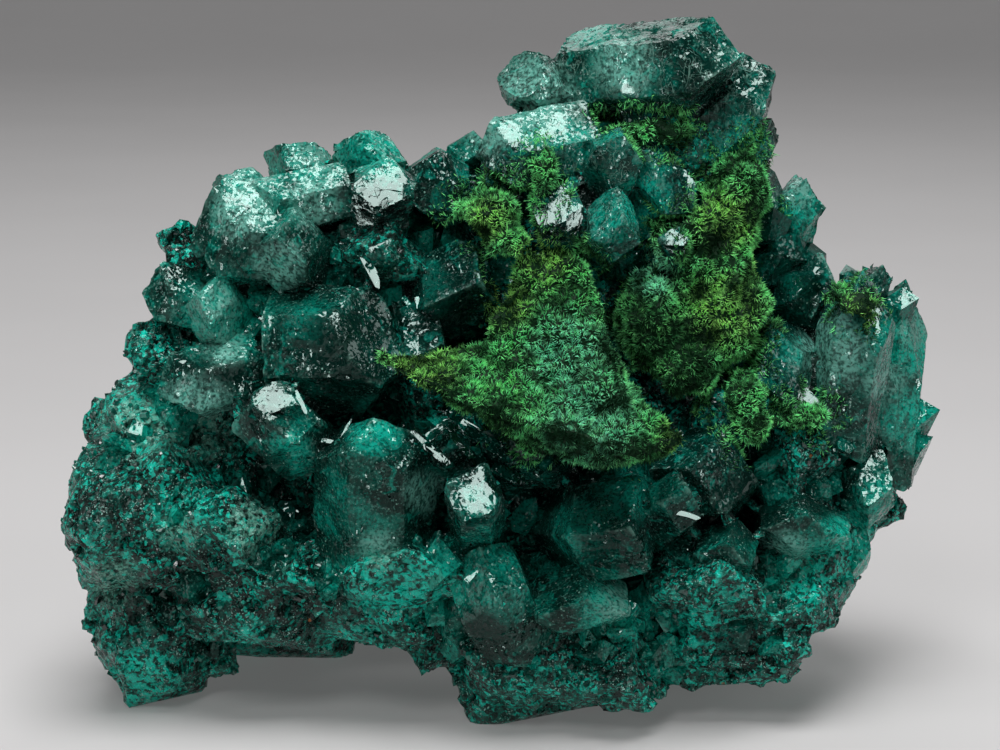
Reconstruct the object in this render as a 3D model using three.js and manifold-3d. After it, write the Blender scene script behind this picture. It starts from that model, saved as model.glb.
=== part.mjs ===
// A hand specimen of dioptase: dark green crystals grown on a lump of granular copper ore, with
// patches of moss-like mineral needles between them. It stands on the broken feet of the ore.
// Millimetres, +Z up, the richer side facing -Y, origin at the middle of the bottom of its box.
import * as THREE from "three";
import { ConvexGeometry } from "three/addons/geometries/ConvexGeometry.js";
import { SimplexNoise } from "three/addons/math/SimplexNoise.js";
import { mergeVertices } from "three/addons/utils/BufferGeometryUtils.js";
import Module from "manifold-3d";

const wasm = await Module();
wasm.setup();

// Sizes that hold for the whole specimen.
const GAP = 0.3; // between neighbouring pieces
const SMALLEST_PIECE = 8; // mm3: a sliver under this, left by a cut, is dropped
const TIP_SLOPE = THREE.MathUtils.degToRad(51); // from the long axis to the normal of a tip face
const PRISM_FACES = 6;
const TIP_FACES = 3;
const FACE_SPREAD = 0.16; // how unevenly a crystal's faces stand off its centre
const CROWDING = 1.09; // a crystal's own size over what its neighbours leave to be seen of it
const PARALLEL_GROWTH = {
  size: [0.45, 0.7], // least and most, in widths of the parent
  reach: [0.34, 0.5], // from middle to middle
  across: [-0.5, 0.5], // these three are the way it steps off
  forward: [0, 0.7],
  up: [-0.35, 0.65],
};
const GOLDEN_ANGLE = Math.PI * (3 - Math.sqrt(5));
const ROCK_CORNERS = 15; // of one lump of ore
const MOSS_CORNERS = 14;
const CORNER_SWELL = 1.08; // corners stand past a lump's radii, so that its flat faces meet them
const ROCK_WAVES = [
  { length: 15, height: 1.4 },
  { length: 6, height: 1 },
];
const MOSS_WAVES = [{ length: 5, height: 0.5 }];

// Tolerances: corners closer than this are one, planes nearer to parallel than this never meet,
// and normals more alike than this belong to one face.
const SAME_CORNER = 1e-3;
const WELD = 1e-4;
const NEVER_MEET = 1e-5;
const ON_PLANE = 1e-5;
const SAME_FACE = 0.9999;

// Places are written as the specimen is seen from the front, a little from above: millimetres
// across and up in the picture plane through the origin, and depth, the true Y of the point.
const VIEW_TILT = THREE.MathUtils.degToRad(12);
const VIEW_DISTANCE = 305.6;
const VIEW_CENTRE = { across: 0.33, up: 34.8 };

const viewRight = new THREE.Vector3(1, 0, 0);
const viewUp = new THREE.Vector3(0, Math.sin(VIEW_TILT), Math.cos(VIEW_TILT));
const viewBack = new THREE.Vector3(0, -Math.cos(VIEW_TILT), Math.sin(VIEW_TILT));
const eye = new THREE.Vector3(VIEW_CENTRE.across, 0, 0)
  .addScaledVector(viewUp, VIEW_CENTRE.up)
  .addScaledVector(viewBack, VIEW_DISTANCE);

function seen([across, up, depth]) {
  const ray = new THREE.Vector3(across, 0, 0).addScaledVector(viewUp, up).sub(eye);
  return eye.clone().addScaledVector(ray, (depth - eye.y) / ray.y);
}

// A direction from its azimuth, 0 towards the viewer and 90 to the right, and its elevation.
function towards([azimuth, elevation]) {
  const a = THREE.MathUtils.degToRad(azimuth);
  const e = THREE.MathUtils.degToRad(elevation);
  return new THREE.Vector3(Math.sin(a) * Math.cos(e), -Math.cos(a) * Math.cos(e), Math.sin(e));
}

function seededRandom(seed) {
  let state = seed >>> 0;
  return () => {
    state = (state + 0x6d2b79f5) >>> 0;
    let t = Math.imul(state ^ (state >>> 15), state | 1);
    t ^= t + Math.imul(t ^ (t >>> 7), t | 61);
    return ((t ^ (t >>> 14)) >>> 0) / 4294967296;
  };
}

const noise = new SimplexNoise({ random: seededRandom(11) });

function waviness(point, waves) {
  return waves.reduce(
    (sum, { length, height }) =>
      sum + height * noise.noise3d(point.x / length, point.y / length, point.z / length),
    0,
  );
}

// Closed meshes in and out of the boolean library.
function solidFrom(geometry) {
  geometry.deleteAttribute("normal");
  geometry.deleteAttribute("uv");
  const merged = mergeVertices(geometry, WELD);
  return new wasm.Manifold(
    new wasm.Mesh({
      numProp: 3,
      vertProperties: new Float32Array(merged.attributes.position.array),
      triVerts: new Uint32Array(merged.index.array),
    }),
  );
}

function geometryFrom(solid) {
  const { vertProperties, triVerts } = solid.getMesh();
  const geometry = new THREE.BufferGeometry();
  geometry.setAttribute("position", new THREE.BufferAttribute(vertProperties, 3));
  geometry.setIndex(new THREE.BufferAttribute(triVerts, 1));
  geometry.computeVertexNormals();
  return geometry;
}

const joined = (solids) => solids.reduce((all, one) => all.add(one));
const largest = (solid) =>
  solid.decompose().reduce((best, one) => (one.volume() > best.volume() ? one : best));
const middleOf = (points) =>
  points.reduce((sum, p) => sum.add(p), new THREE.Vector3()).divideScalar(points.length);

// A rounded lump with flat facets: the convex solid round points spread evenly over a ball that
// is stretched to its radii and roughened by the waves.
function lumpSolid({ at, radii, turn = 0 }, corners, waves, grow = 0) {
  const centre = seen(at);
  const spin = new THREE.Quaternion().setFromAxisAngle(viewBack, THREE.MathUtils.degToRad(turn));
  const size = new THREE.Vector3(...radii).multiplyScalar(CORNER_SWELL);
  const points = [];
  for (let i = 0; i < corners; i++) {
    const height = 1 - (2 * i + 1) / corners;
    const ring = Math.sqrt(1 - height * height);
    const out = new THREE.Vector3(
      ring * Math.cos(GOLDEN_ANGLE * i),
      ring * Math.sin(GOLDEN_ANGLE * i),
      height,
    );
    const point = out.clone().multiply(size).applyQuaternion(spin).add(centre);
    out.divide(size).normalize().applyQuaternion(spin);
    points.push(point.addScaledVector(out, waviness(point, waves)));
  }
  return convexSolid(points, grow);
}

// The corners of the convex form inside a set of planes, each a unit normal and a distance.
function cornersInside(planes) {
  const corners = [];
  const [a, b, c] = [new THREE.Vector3(), new THREE.Vector3(), new THREE.Vector3()];
  for (let i = 0; i < planes.length; i++)
    for (let j = i + 1; j < planes.length; j++)
      for (let k = j + 1; k < planes.length; k++) {
        const [p, q, r] = [planes[i], planes[j], planes[k]];
        const spread = p.normal.dot(a.crossVectors(q.normal, r.normal));
        if (Math.abs(spread) < NEVER_MEET) continue;
        const corner = a
          .multiplyScalar(p.distance)
          .addScaledVector(b.crossVectors(r.normal, p.normal), q.distance)
          .addScaledVector(c.crossVectors(p.normal, q.normal), r.distance)
          .divideScalar(spread);
        const inside = planes.every((plane) => plane.normal.dot(corner) < plane.distance + ON_PLANE);
        if (inside && !corners.some((old) => old.distanceTo(corner) < SAME_CORNER))
          corners.push(corner.clone());
      }
  return corners;
}

// The convex solid round some points, with its faces moved outwards by grow.
function convexSolid(points, grow = 0) {
  const hull = new ConvexGeometry(points);
  if (!grow) return solidFrom(hull);
  const middle = middleOf(points);
  const corner = hull.getAttribute("position");
  const planes = [];
  for (let i = 0; i < corner.count; i += 3) {
    const [a, b, c] = [0, 1, 2].map((k) =>
      new THREE.Vector3().fromBufferAttribute(corner, i + k).sub(middle),
    );
    const normal = b.clone().sub(a).cross(c.clone().sub(a)).normalize();
    if (planes.some((plane) => plane.normal.dot(normal) > SAME_FACE)) continue;
    planes.push({ normal, distance: normal.dot(a) + grow });
  }
  return solidFrom(new ConvexGeometry(cornersInside(planes).map((p) => p.add(middle))));
}

// The corners of one crystal of width 1 about its own middle: a six-sided prism along its aim,
// closed by three sloping tip faces and, where cap is given, by a flat end. Lengths are shares
// of the width: tip and cap from the middle to those faces, long back to the root.
function crystalCorners({ aim, roll = 0, long = 0.85, tip = 0.5, cap }, random) {
  const axis = towards(aim);
  const side = new THREE.Vector3(0, 0, 1).cross(axis).normalize();
  side.applyAxisAngle(axis, THREE.MathUtils.degToRad(roll));
  const uneven = () => 1 + FACE_SPREAD * (2 * random() - 1);
  const planes = [];
  const around = (turns) => side.clone().applyAxisAngle(axis, 2 * Math.PI * turns);
  for (let face = 0; face < PRISM_FACES; face++)
    planes.push({ normal: around((face + 0.5) / PRISM_FACES), distance: 0.5 * uneven() });
  for (let face = 0; face < TIP_FACES; face++)
    planes.push({
      normal: around(face / TIP_FACES)
        .multiplyScalar(Math.sin(TIP_SLOPE))
        .addScaledVector(axis, Math.cos(TIP_SLOPE)),
      distance: tip * uneven(),
    });
  if (cap) planes.push({ normal: axis.clone(), distance: cap });
  planes.push({ normal: axis.clone().negate(), distance: long });
  return cornersInside(planes);
}

// A crystal with its parallel growths, which are smaller ones turned the same way, a step off
// its faces. All together they fill the box [left, bottom, right, top] that the front view
// shows, with the nearest corner at the depth of front.
function crystalSolid(spec, seed, grow) {
  const random = seededRandom(seed);
  const between = ([least, most]) => least + (most - least) * random();
  const parts = [crystalCorners(spec, random)];
  for (let step = 0; step < (spec.steps ?? 0); step++) {
    const { size, reach, across, forward, up } = PARALLEL_GROWTH;
    const share = between(size);
    const length = between(reach);
    const off = new THREE.Vector3(between(across), -between(forward), between(up));
    off.setLength(length);
    parts.push(crystalCorners(spec, random).map((p) => p.multiplyScalar(share).add(off)));
  }
  const axes = [viewRight, viewUp, viewBack];
  const [acrossRange, upRange] = axes.slice(0, 2).map((axis) => {
    const places = parts.flat().map((p) => p.dot(axis));
    return { low: Math.min(...places), high: Math.max(...places) };
  });
  const [left, bottom, right, top] = spec.box;
  const middle = [(left + right) / 2, (bottom + top) / 2];
  const nearness = eye.clone().sub(seen([...middle, spec.front])).dot(viewBack) / VIEW_DISTANCE;
  const swell = CROWDING * nearness;
  const across = ((right - left) / (acrossRange.high - acrossRange.low)) * swell;
  const up = ((top - bottom) / (upRange.high - upRange.low)) * swell;
  const stretch = [across, up, Math.sqrt(across * up)];
  const start = [(acrossRange.low + acrossRange.high) / 2, (upRange.low + upRange.high) / 2, 0];
  const fitted = parts.map((corners) =>
    corners.map((p) =>
      axes.reduce(
        (sum, axis, i) => sum.addScaledVector(axis, (p.dot(axis) - start[i]) * stretch[i]),
        new THREE.Vector3(),
      ),
    ),
  );
  const nearest = Math.min(...fitted.flat().map((p) => p.y));
  const centre = seen([...middle, spec.front - nearest]);
  return joined(fitted.map((corners) => convexSolid(corners.map((p) => p.add(centre)), grow)));
}

// The ore that carries the crystals: rounded masses, and coarse crystal blocks fused into it.
const ORE_LUMPS = [
  { at: [0, 26, 6], radii: [34, 17, 18] },
  { at: [-37.2, 20.3, -4], radii: [9.4, 13, 11.2], turn: -8 },
  { at: [-32.8, 28, 4], radii: [11.2, 13, 9.4], turn: 8 },
  { at: [-38, 6.4, -2], radii: [6.8, 9, 9], turn: 16 },
  { at: [-26, 11.7, -3], radii: [12, 13, 7.2], turn: -4 },
  { at: [-12, 12, -4], radii: [11, 13, 6.4], turn: -10 },
  { at: [6, 6.6, -4], radii: [11.8, 13, 9.8], turn: 4 },
  { at: [23.5, 8.5, 0], radii: [12.5, 15, 7.2], turn: 6 },
  { at: [33, 17, 3], radii: [8.5, 14, 10], turn: -10 },
  { at: [38, 29, 6], radii: [7, 11, 14.5], turn: -3 },
  { at: [-19, 43, 3], radii: [17, 12, 12], turn: 8 },
  { at: [4, 45, 2], radii: [13, 10, 12] },
  { at: [16.5, 55, 5], radii: [11, 11, 15], turn: -6 },
  { at: [-9, 38, 17], radii: [20, 11, 15] },
  { at: [16, 38, 16], radii: [15, 11, 16] },
  { at: [-25, 14, 16], radii: [13, 12, 11] },
  { at: [14, 13, 18], radii: [17, 13, 11] },
];
const ORE_BLOCKS = [
  { box: [-36.5, 10, -21.7, 22.5], front: -19, aim: [-20, 38], roll: 20 },
  { box: [-31, 5.4, -16.7, 16.6], front: -17, aim: [12, 20], roll: 5 },
  { box: [-16.7, 8.4, -3.5, 16.5], front: -20, aim: [-5, 40], roll: 30 },
  { box: [5.3, -1.8, 18.5, 10], front: -19, aim: [15, 0], roll: 12 },
  { box: [-4.2, -0.4, 6.4, 8.8], front: -18, aim: [-30, 10] },
  { box: [15.7, 4.6, 28.9, 16.6], front: -18, aim: [10, 35], roll: 25 },
  { box: [25.5, 3.5, 36.2, 14.4], front: -14, aim: [35, 25], roll: 10 },
  { box: [-46.4, 12.2, -35.4, 24.3], front: -15, aim: [-60, 10], roll: 35 },
  { box: [-43.6, 24, -34, 33], front: -11, aim: [-50, 40], roll: 20 },
  { box: [-36.9, 44.2, -29.4, 51.5], front: -6, aim: [-70, 30], roll: 10 },
  { box: [-40.4, 32.6, -33.6, 40.5], front: -9, aim: [-75, 25], roll: 5 },
  { box: [-19, 42.6, -8.4, 51.8], front: -11, aim: [20, 30], roll: 10 },
  { box: [-11.4, 29, -4.8, 39.8], front: -13, aim: [30, 20], roll: 5 },
  { box: [15, 48.6, 23, 54.6], front: -8, aim: [30, 10], roll: 20 },
  { box: [21, 27, 29.4, 34], front: -11, aim: [10, 45], roll: 10 },
  { box: [28.6, 20.6, 37, 30], front: -11, aim: [35, 20], roll: 28 },
  { box: [-36, 36, -24, 48], front: 3, aim: [-140, 35], roll: 12 },
  { box: [-4, 48, 10, 60], front: 4, aim: [-170, 40], roll: 20 },
  { box: [8, 24, 24, 38], front: 14, aim: [165, 10], roll: 5 },
  { box: [-24, 18, -8, 32], front: 14, aim: [-170, 5], roll: 25 },
  { box: [24, 30, 38, 44], front: 5, aim: [130, 30], roll: 15 },
  { box: [-16, 4, -2, 16], front: 14, aim: [-175, 20], roll: 8 },
];
const ORE_SEED = 500;

// The crystals, by the part of the specimen that they grow on.
const CRYSTALS = {
  crown: [
    { box: [7.2, 62.8, 26, 73.9], front: -9, aim: [68, 8], roll: 24, long: 1.4, steps: 1 },
    { box: [0, 61.5, 11.3, 70.3], front: -6, aim: [-48, 34], roll: 10, cap: 0.28, long: 1.2 },
    { box: [20.5, 56.8, 30.2, 69.8], front: -4, aim: [80, 35], roll: 30 },
    { box: [23.5, 54.5, 31, 62.8], front: -1, aim: [85, 60] },
    { box: [11.3, 60, 25.5, 73.4], front: -1, aim: [120, 60], roll: 15 },
    { box: [4.7, 60, 15.7, 70.2], front: 1, aim: [-140, 50], roll: 5 },
    { box: [-2.1, 55.5, 11.3, 64.8], front: -10, aim: [-72, -8], roll: 18, steps: 1 },
    { box: [8.8, 53.5, 15.7, 61.9], front: -10.5, aim: [22, 42], roll: 10 },
    { box: [3.8, 47.5, 10.2, 55.9], front: -13, aim: [-10, 42], cap: 0.42, long: 1.4 },
    { box: [8.6, 46.4, 15.4, 55.3], front: -14, aim: [14, 18], roll: 25, long: 1.4 },
    { box: [14.4, 52.7, 21.4, 60.6], front: -9, aim: [55, -32], roll: 20 },
    { box: [17.7, 46, 21.6, 51], front: -12, aim: [-5, 44], roll: 10, cap: 0.45, long: 1.8 },
    { box: [-2.3, 53.5, 3.3, 60.2], front: -8, aim: [-20, 5], roll: 12, long: 1.4 },
  ],
  upper_left: [
    { box: [-32.9, 44.6, -22.5, 56], front: -13, aim: [-78, 5], roll: 20, steps: 1 },
    { box: [-28.3, 50.2, -15.5, 58], front: -10, aim: [-82, -14], roll: 18 },
    { box: [-16.6, 49.2, -9.2, 58.4], front: -12, aim: [8, 43], roll: 20, cap: 0.4, long: 1.3 },
    { box: [-10.3, 51.5, -3.1, 60.2], front: -8, aim: [5, 8], roll: 30, cap: 0.5, long: 1.3 },
    { box: [-18, 53.5, -9.3, 61.6], front: -4, aim: [-15, 55], roll: 10 },
    { box: [-25.4, 53.5, -16.5, 60.2], front: -3, aim: [-40, 50] },
    { box: [-31, 51.5, -22.6, 57.4], front: -4, aim: [-60, 45], roll: 25 },
    { box: [-5.8, 55.5, -0.6, 61.6], front: -1, aim: [10, 60], roll: 15 },
    { box: [-27.6, 43.3, -17.4, 52.9], front: -15, aim: [-15, 20], roll: 15 },
    { box: [-25, 31, -9.8, 44.3], front: -17, aim: [78, 3], roll: 22, long: 0.8 },
    { box: [-34, 36.7, -26.8, 45.6], front: -14, aim: [-30, 30], roll: 12 },
    { box: [-36.9, 30.4, -25, 39.4], front: -16, aim: [-65, -10], roll: 30, long: 0.8 },
    { box: [-10.7, 38.6, -0.4, 49.3], front: -12, aim: [20, 15], roll: 20 },
    { box: [-15.8, 44.3, -10.6, 49.6], front: -13, aim: [10, 38], long: 1.8 },
    { box: [-38.6, 39.2, -32, 47.2], front: -8, aim: [-80, 10], roll: 20 },
    { box: [-13.6, 34.6, -5.2, 43.2], front: -12, aim: [35, 10], roll: 15 },
  ],
  middle: [
    { box: [-27.6, 28.4, -21.4, 34.4], front: -18, aim: [10, 44], roll: 15, cap: 0.42, steps: 1 },
    { box: [-28.7, 23.4, -17.4, 33.4], front: -19, aim: [-30, 35], roll: 25, steps: 1 },
    { box: [-20, 13.6, -7, 29.6], front: -21.5, aim: [3, 78], roll: 60, long: 1.2 },
    { box: [-10, 21.7, -1.6, 30.1], front: -18, aim: [25, 35], roll: 30, steps: 1 },
    { box: [-5.6, 13.4, 0.9, 24.8], front: -23.5, aim: [-3, 40], roll: 2, cap: 0.45, long: 2 },
    { box: [-2.4, 22.4, 9.2, 30.4], front: -18.5, aim: [-5, 48], roll: 10 },
    { box: [3.3, 12.4, 17.5, 23.6], front: -22, aim: [18, 12], roll: 5, long: 0.8 },
    { box: [-5.4, 2.9, 6, 16.2], front: -22.5, aim: [-38, 58], roll: 15 },
    { box: [3.3, 4.9, 14.3, 14], front: -21.5, aim: [5, 28], roll: 28 },
    { box: [17, 18.6, 29.6, 28.8], front: -17, aim: [-10, 20] },
    { box: [14.4, 15.4, 22.5, 24.4], front: -19, aim: [30, 35], roll: 18 },
    { box: [21.6, 10.8, 28.6, 19], front: -17.5, aim: [0, 35], roll: 12 },
  ],
  right: [
    { box: [29.6, 46.5, 35.6, 56.5], front: -1, aim: [30, 60], roll: 10 },
    { box: [30.1, 39.8, 36.7, 47.8], front: -3, aim: [60, 10], roll: 25 },
    { box: [26.5, 28.8, 36.7, 40.8], front: -10, aim: [-30, 8], roll: 28 },
    { box: [34.4, 25.8, 43.2, 45.4], front: -9, aim: [35, 75], roll: 18 },
    { box: [40, 22.6, 47.2, 44.6], front: -3, aim: [70, 78], roll: 5, steps: 1 },
    { box: [38.2, 41.5, 43.6, 46.9], front: -1, aim: [30, 60], roll: 20 },
    { box: [36, 17.4, 43.4, 26.4], front: -9, aim: [50, 15], roll: 12 },
    { box: [28.2, 12.8, 38.5, 21.8], front: -14, aim: [5, 40], roll: 22 },
    { box: [35.4, 11.8, 40.8, 19.4], front: -7, aim: [60, 5], roll: 18 },
  ],
  back: [
    { box: [-29, 39, -17, 50], front: 5, aim: [-160, 30], roll: 10 },
    { box: [-14, 43, -2, 55], front: 9, aim: [175, 45], roll: 30 },
    { box: [-6, 30, 8, 44], front: 14, aim: [170, 20], roll: 15 },
    { box: [10, 45, 22, 58], front: 9, aim: [150, 35], roll: 5 },
    { box: [-38, 25, -27, 36], front: 6, aim: [-125, 20], roll: 12 },
    { box: [25, 18, 36, 30], front: 8, aim: [115, 5], roll: 18 },
  ],
};

// The mossy patches. The ledge is a crystal grown over, so it is a set of straight-sided wedges.
const MOSS_LEDGE = [
  [
    [2.2, 49, -11],
    [9.8, 48.6, -11],
    [0.5, 43, -14],
    [12, 43, -14.5],
    [-3, 36.5, -18],
    [14.5, 36, -18.5],
    [0, 31, -21.5],
    [15.5, 30, -22],
    [3, 47, -4],
    [9, 47, -4],
    [0, 32, -8],
    [14, 32, -8],
  ],
  [
    [-13.5, 37.4, -18],
    [-13, 35.8, -19],
    [-4, 38.5, -13],
    [-4, 32, -23.5],
    [8, 27.6, -26],
    [16.5, 26, -26],
    [21.6, 27.9, -21],
    [15, 35, -13],
    [6, 40, -13],
    [3, 25.6, -19],
    [12, 23.6, -21],
    [18.5, 24.8, -19],
    [5, 30, -9],
  ],
];
const MOSS_LUMPS = {
  field_moss: [
    { at: [26, 54, -3], radii: [4.9, 6, 7.2] },
    { at: [22, 49.6, -5], radii: [5, 6, 6.6] },
    { at: [17.3, 41, -8], radii: [5, 6, 6.4] },
    { at: [25.4, 42, -6.5], radii: [5, 6.5, 6.8] },
    { at: [21, 35.8, -9.5], radii: [5, 5.5, 4.2] },
  ],
  hanging_moss: [{ at: [16.4, 61.6, -3], radii: [5.4, 5, 2.8] }],
  left_moss: [
    { at: [-0.9, 53, -9.5], radii: [4.4, 4.5, 2.8] },
    { at: [1, 49.6, -11], radii: [3.5, 4, 2.4] },
  ],
  sprig_moss: [{ at: [5.2, 57, -10.5], radii: [1.9, 3, 3.2] }],
  low_moss: [
    { at: [27, 33.4, -10.5], radii: [3.1, 3.5, 2.5] },
    { at: [28, 29.6, -12], radii: [2.8, 3.4, 3] },
  ],
  shelf_moss: [{ at: [34.2, 30.4, -9.5], radii: [2.8, 3.4, 1.8] }],
  right_moss: [{ at: [39.4, 42.5, -7], radii: [2.5, 2.8, 2.6] }],
};

const GROUND = { width: 200, depth: 40 };

function groundSolid() {
  const slab = new THREE.BoxGeometry(GROUND.width, GROUND.width, GROUND.depth);
  slab.translate(0, 0, -GROUND.depth / 2);
  return solidFrom(slab);
}

function clusterSolid(crystals, seed, grow = 0) {
  return joined(crystals.map((crystal, i) => crystalSolid(crystal, seed + i, grow)));
}

function oreSolid(grow = 0) {
  const lumps = ORE_LUMPS.map((lump) => lumpSolid(lump, ROCK_CORNERS, ROCK_WAVES, grow));
  return joined([...lumps, clusterSolid(ORE_BLOCKS, ORE_SEED, grow)]);
}

function mossLedgeSolid(grow = 0) {
  return joined(MOSS_LEDGE.map((corners) => convexSolid(corners.map(seen), grow)));
}

function mossSolid(lumps, grow = 0) {
  return joined(lumps.map((lump) => lumpSolid(lump, MOSS_CORNERS, MOSS_WAVES, grow)));
}

const MATERIALS = {
  ore: { color: 0x24584c, roughness: 0.75, metalness: 0 },
  crystal: { color: 0x0b4a38, roughness: 0.12, metalness: 0 },
  moss: { color: 0x3c7a2c, roughness: 0.85, metalness: 0 },
};

const specimen = new THREE.Group();

function addPiece(name, solid, material) {
  const mesh = new THREE.Mesh(
    geometryFrom(solid),
    new THREE.MeshStandardMaterial(MATERIALS[material]),
  );
  mesh.name = name;
  specimen.add(mesh);
}

// Each clump of crystals that touch is one piece: what is left of a cluster once the pieces
// placed before it are cut away, with a gap.
function addClumps(name, solid, taken, material) {
  const clumps = solid
    .subtract(taken)
    .decompose()
    .filter((clump) => clump.volume() > SMALLEST_PIECE)
    .sort((a, b) => b.volume() - a.volume());
  clumps.forEach((clump, i) => addPiece(i ? `${name}_${i + 1}` : name, clump, material));
}

let taken = groundSolid();

Object.entries(CRYSTALS).forEach(([place, crystals], i) => {
  const seed = 100 * (i + 1);
  addClumps(`${place}_crystals`, clusterSolid(crystals, seed), taken, "crystal");
  taken = taken.add(clusterSolid(crystals, seed, GAP));
});

// The ore fills in round the crystals' roots, and the moss lies on both.
addPiece("ore", largest(oreSolid().subtract(taken)), "ore");
taken = taken.add(oreSolid(GAP));

addClumps("ledge_moss", mossLedgeSolid(), taken, "moss");
taken = taken.add(mossLedgeSolid(GAP));
for (const [name, lumps] of Object.entries(MOSS_LUMPS)) {
  addClumps(name, mossSolid(lumps), taken, "moss");
  taken = taken.add(mossSolid(lumps, GAP));
}

// The origin moves to the middle of the bottom of the whole specimen's box.
const box = new THREE.Box3().setFromObject(specimen);
specimen.position.set(-(box.min.x + box.max.x) / 2, -(box.min.y + box.max.y) / 2, -box.min.z);

export default specimen;
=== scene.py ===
"""A hand specimen of dioptase in a plain studio.

Glassy dark green crystals stand on a skin of granular copper ore, tiny crystals crust the hollows
between them, and mineral needles grow in mossy patches. Inside the script lengths are
millimetres, in the frame of the solids, and become metres where a mesh is handed to Blender.
"""

import logging
import math
from dataclasses import dataclass
from enum import Enum
from itertools import product

import bpy
import numpy as np
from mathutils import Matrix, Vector
from mathutils.bvhtree import BVHTree


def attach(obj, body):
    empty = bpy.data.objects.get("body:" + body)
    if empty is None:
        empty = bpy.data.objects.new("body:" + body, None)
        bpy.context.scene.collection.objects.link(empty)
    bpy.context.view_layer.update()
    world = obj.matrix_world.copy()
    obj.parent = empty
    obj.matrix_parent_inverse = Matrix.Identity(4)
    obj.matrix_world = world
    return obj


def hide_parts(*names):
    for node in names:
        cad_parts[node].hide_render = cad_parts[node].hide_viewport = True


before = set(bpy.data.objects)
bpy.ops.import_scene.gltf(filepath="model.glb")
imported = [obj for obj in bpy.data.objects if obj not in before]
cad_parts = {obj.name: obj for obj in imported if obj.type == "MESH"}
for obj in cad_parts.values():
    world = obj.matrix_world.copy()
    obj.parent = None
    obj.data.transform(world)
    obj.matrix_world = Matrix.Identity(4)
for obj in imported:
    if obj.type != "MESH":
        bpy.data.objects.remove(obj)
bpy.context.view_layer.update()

MM = 0.001
WELD = 1e-4
SHAPES = 12
SHEEN = (0.02, -0.73, 0.68)
FEET_CLEAR = 1.2
CRYSTAL_SEED, MOSS_SEED, SEED_STEP = 1000, 3000, 100
log = logging.getLogger("dioptase")

Colour = tuple[float, float, float]
Socket = bpy.types.NodeSocket
Material = bpy.types.Material

# The view that places are read from: millimetres across and up in its picture plane, and depth,
# the true Y. The specimen was moved by SHIFT to bring its box over the origin.
VIEW_TILT = math.radians(12)
VIEW_DISTANCE = 305.6
VIEW_CENTRE = (0.33, 34.8)
SHIFT = np.array((-0.54, -5.67, 0.0))
VIEW_RIGHT = np.array((1.0, 0.0, 0.0))
VIEW_UP = np.array((0.0, math.sin(VIEW_TILT), math.cos(VIEW_TILT)))
VIEW_BACK = np.array((0.0, -math.cos(VIEW_TILT), math.sin(VIEW_TILT)))
VIEW_TARGET = VIEW_CENTRE[0] * VIEW_RIGHT + VIEW_CENTRE[1] * VIEW_UP
VIEW_EYE = VIEW_TARGET + VIEW_DISTANCE * VIEW_BACK


def seen(across: float, up: float, depth: float) -> np.ndarray:
    """Turns a place in the front view into a point of the specimen.

    Args:
        across: Millimetres to the right in the picture plane.
        up: Millimetres up in the picture plane.
        depth: The point's own Y before the specimen was moved over the origin.

    Returns:
        The point, in millimetres.
    """
    ray = across * VIEW_RIGHT + up * VIEW_UP - VIEW_EYE
    return VIEW_EYE + ray * (depth - VIEW_EYE[1]) / ray[1] + SHIFT


def sighted(points: np.ndarray) -> np.ndarray:
    """Where points of the specimen are in the front view's picture plane, across and up."""
    rays = points - SHIFT - VIEW_EYE
    plane = VIEW_EYE - rays * (VIEW_DISTANCE / (rays @ VIEW_BACK))[:, None]
    return np.stack([plane @ VIEW_RIGHT, plane @ VIEW_UP], axis=1)


def unit(vectors: np.ndarray) -> np.ndarray:
    """Scales each row to length 1."""
    return vectors / (np.linalg.norm(vectors, axis=-1, keepdims=True) + 1e-12)


def eased(values: np.ndarray, low: float, high: float) -> np.ndarray:
    """Rises smoothly from 0 at low to 1 at high."""
    t = np.clip((values - low) / (high - low), 0, 1)
    return t * t * (3 - 2 * t)


def hashed(cells: np.ndarray, seed: int) -> np.ndarray:
    """Gives each cell of a whole-number grid a fixed number from 0 to 1.

    Args:
        cells: Whole numbers, three to a row.
        seed: Chooses one of many such fields.

    Returns:
        One number for each row.
    """
    c = cells.astype(np.int64) & 0xFFFFFFFF
    h = (c[..., 0] * 0x8DA6B343) ^ (c[..., 1] * 0xD8163841) ^ (c[..., 2] * 0xCB1AB31F)
    h = (h ^ (seed * 0x9E3779B1)) & 0xFFFFFFFF
    for shift, factor in ((15, 0x2C1B3C6D), (12, 0x297A2D39), (15, 1)):
        h = ((h ^ (h >> shift)) * factor) & 0xFFFFFFFF
    return h / 2**32


def noise(points: np.ndarray, size: float, seed: int, layers: int = 1) -> np.ndarray:
    """Smooth noise from about -1 to 1, with finer layers added at half the size and height.

    Args:
        points: Where to read it, in millimetres.
        size: The breadth of its largest lumps.
        seed: Chooses the field.
        layers: How many sizes are added up.

    Returns:
        One value for each point.
    """
    total = np.zeros(len(points))
    for layer in range(layers):
        q = points * (2**layer / size)
        cell = np.floor(q)
        f = q - cell
        f = f * f * (3 - 2 * f)
        value = np.zeros(len(points))
        for corner in product((0, 1), repeat=3):
            weight = np.prod(np.where(corner, f, 1 - f), axis=1)
            value += weight * hashed(cell + corner, seed + layer)
        total += (2 * value - 1) / 2**layer
    return total


@dataclass
class CellField:
    """What points know of the random cells that they lie in.

    Attributes:
        edge: How far each point is inside its cell, 0 at a border, in cell sizes.
        middle: The distance to the cell's own centre, in cell sizes.
        centre: The cell's centre, in millimetres.
        key: The grid place that owns the cell, for further random draws.
    """

    edge: np.ndarray
    middle: np.ndarray
    centre: np.ndarray
    key: np.ndarray

    def draw(self, seed: int) -> np.ndarray:
        """A number from 0 to 1 that is the same all over each cell."""
        return hashed(self.key, seed)


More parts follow.
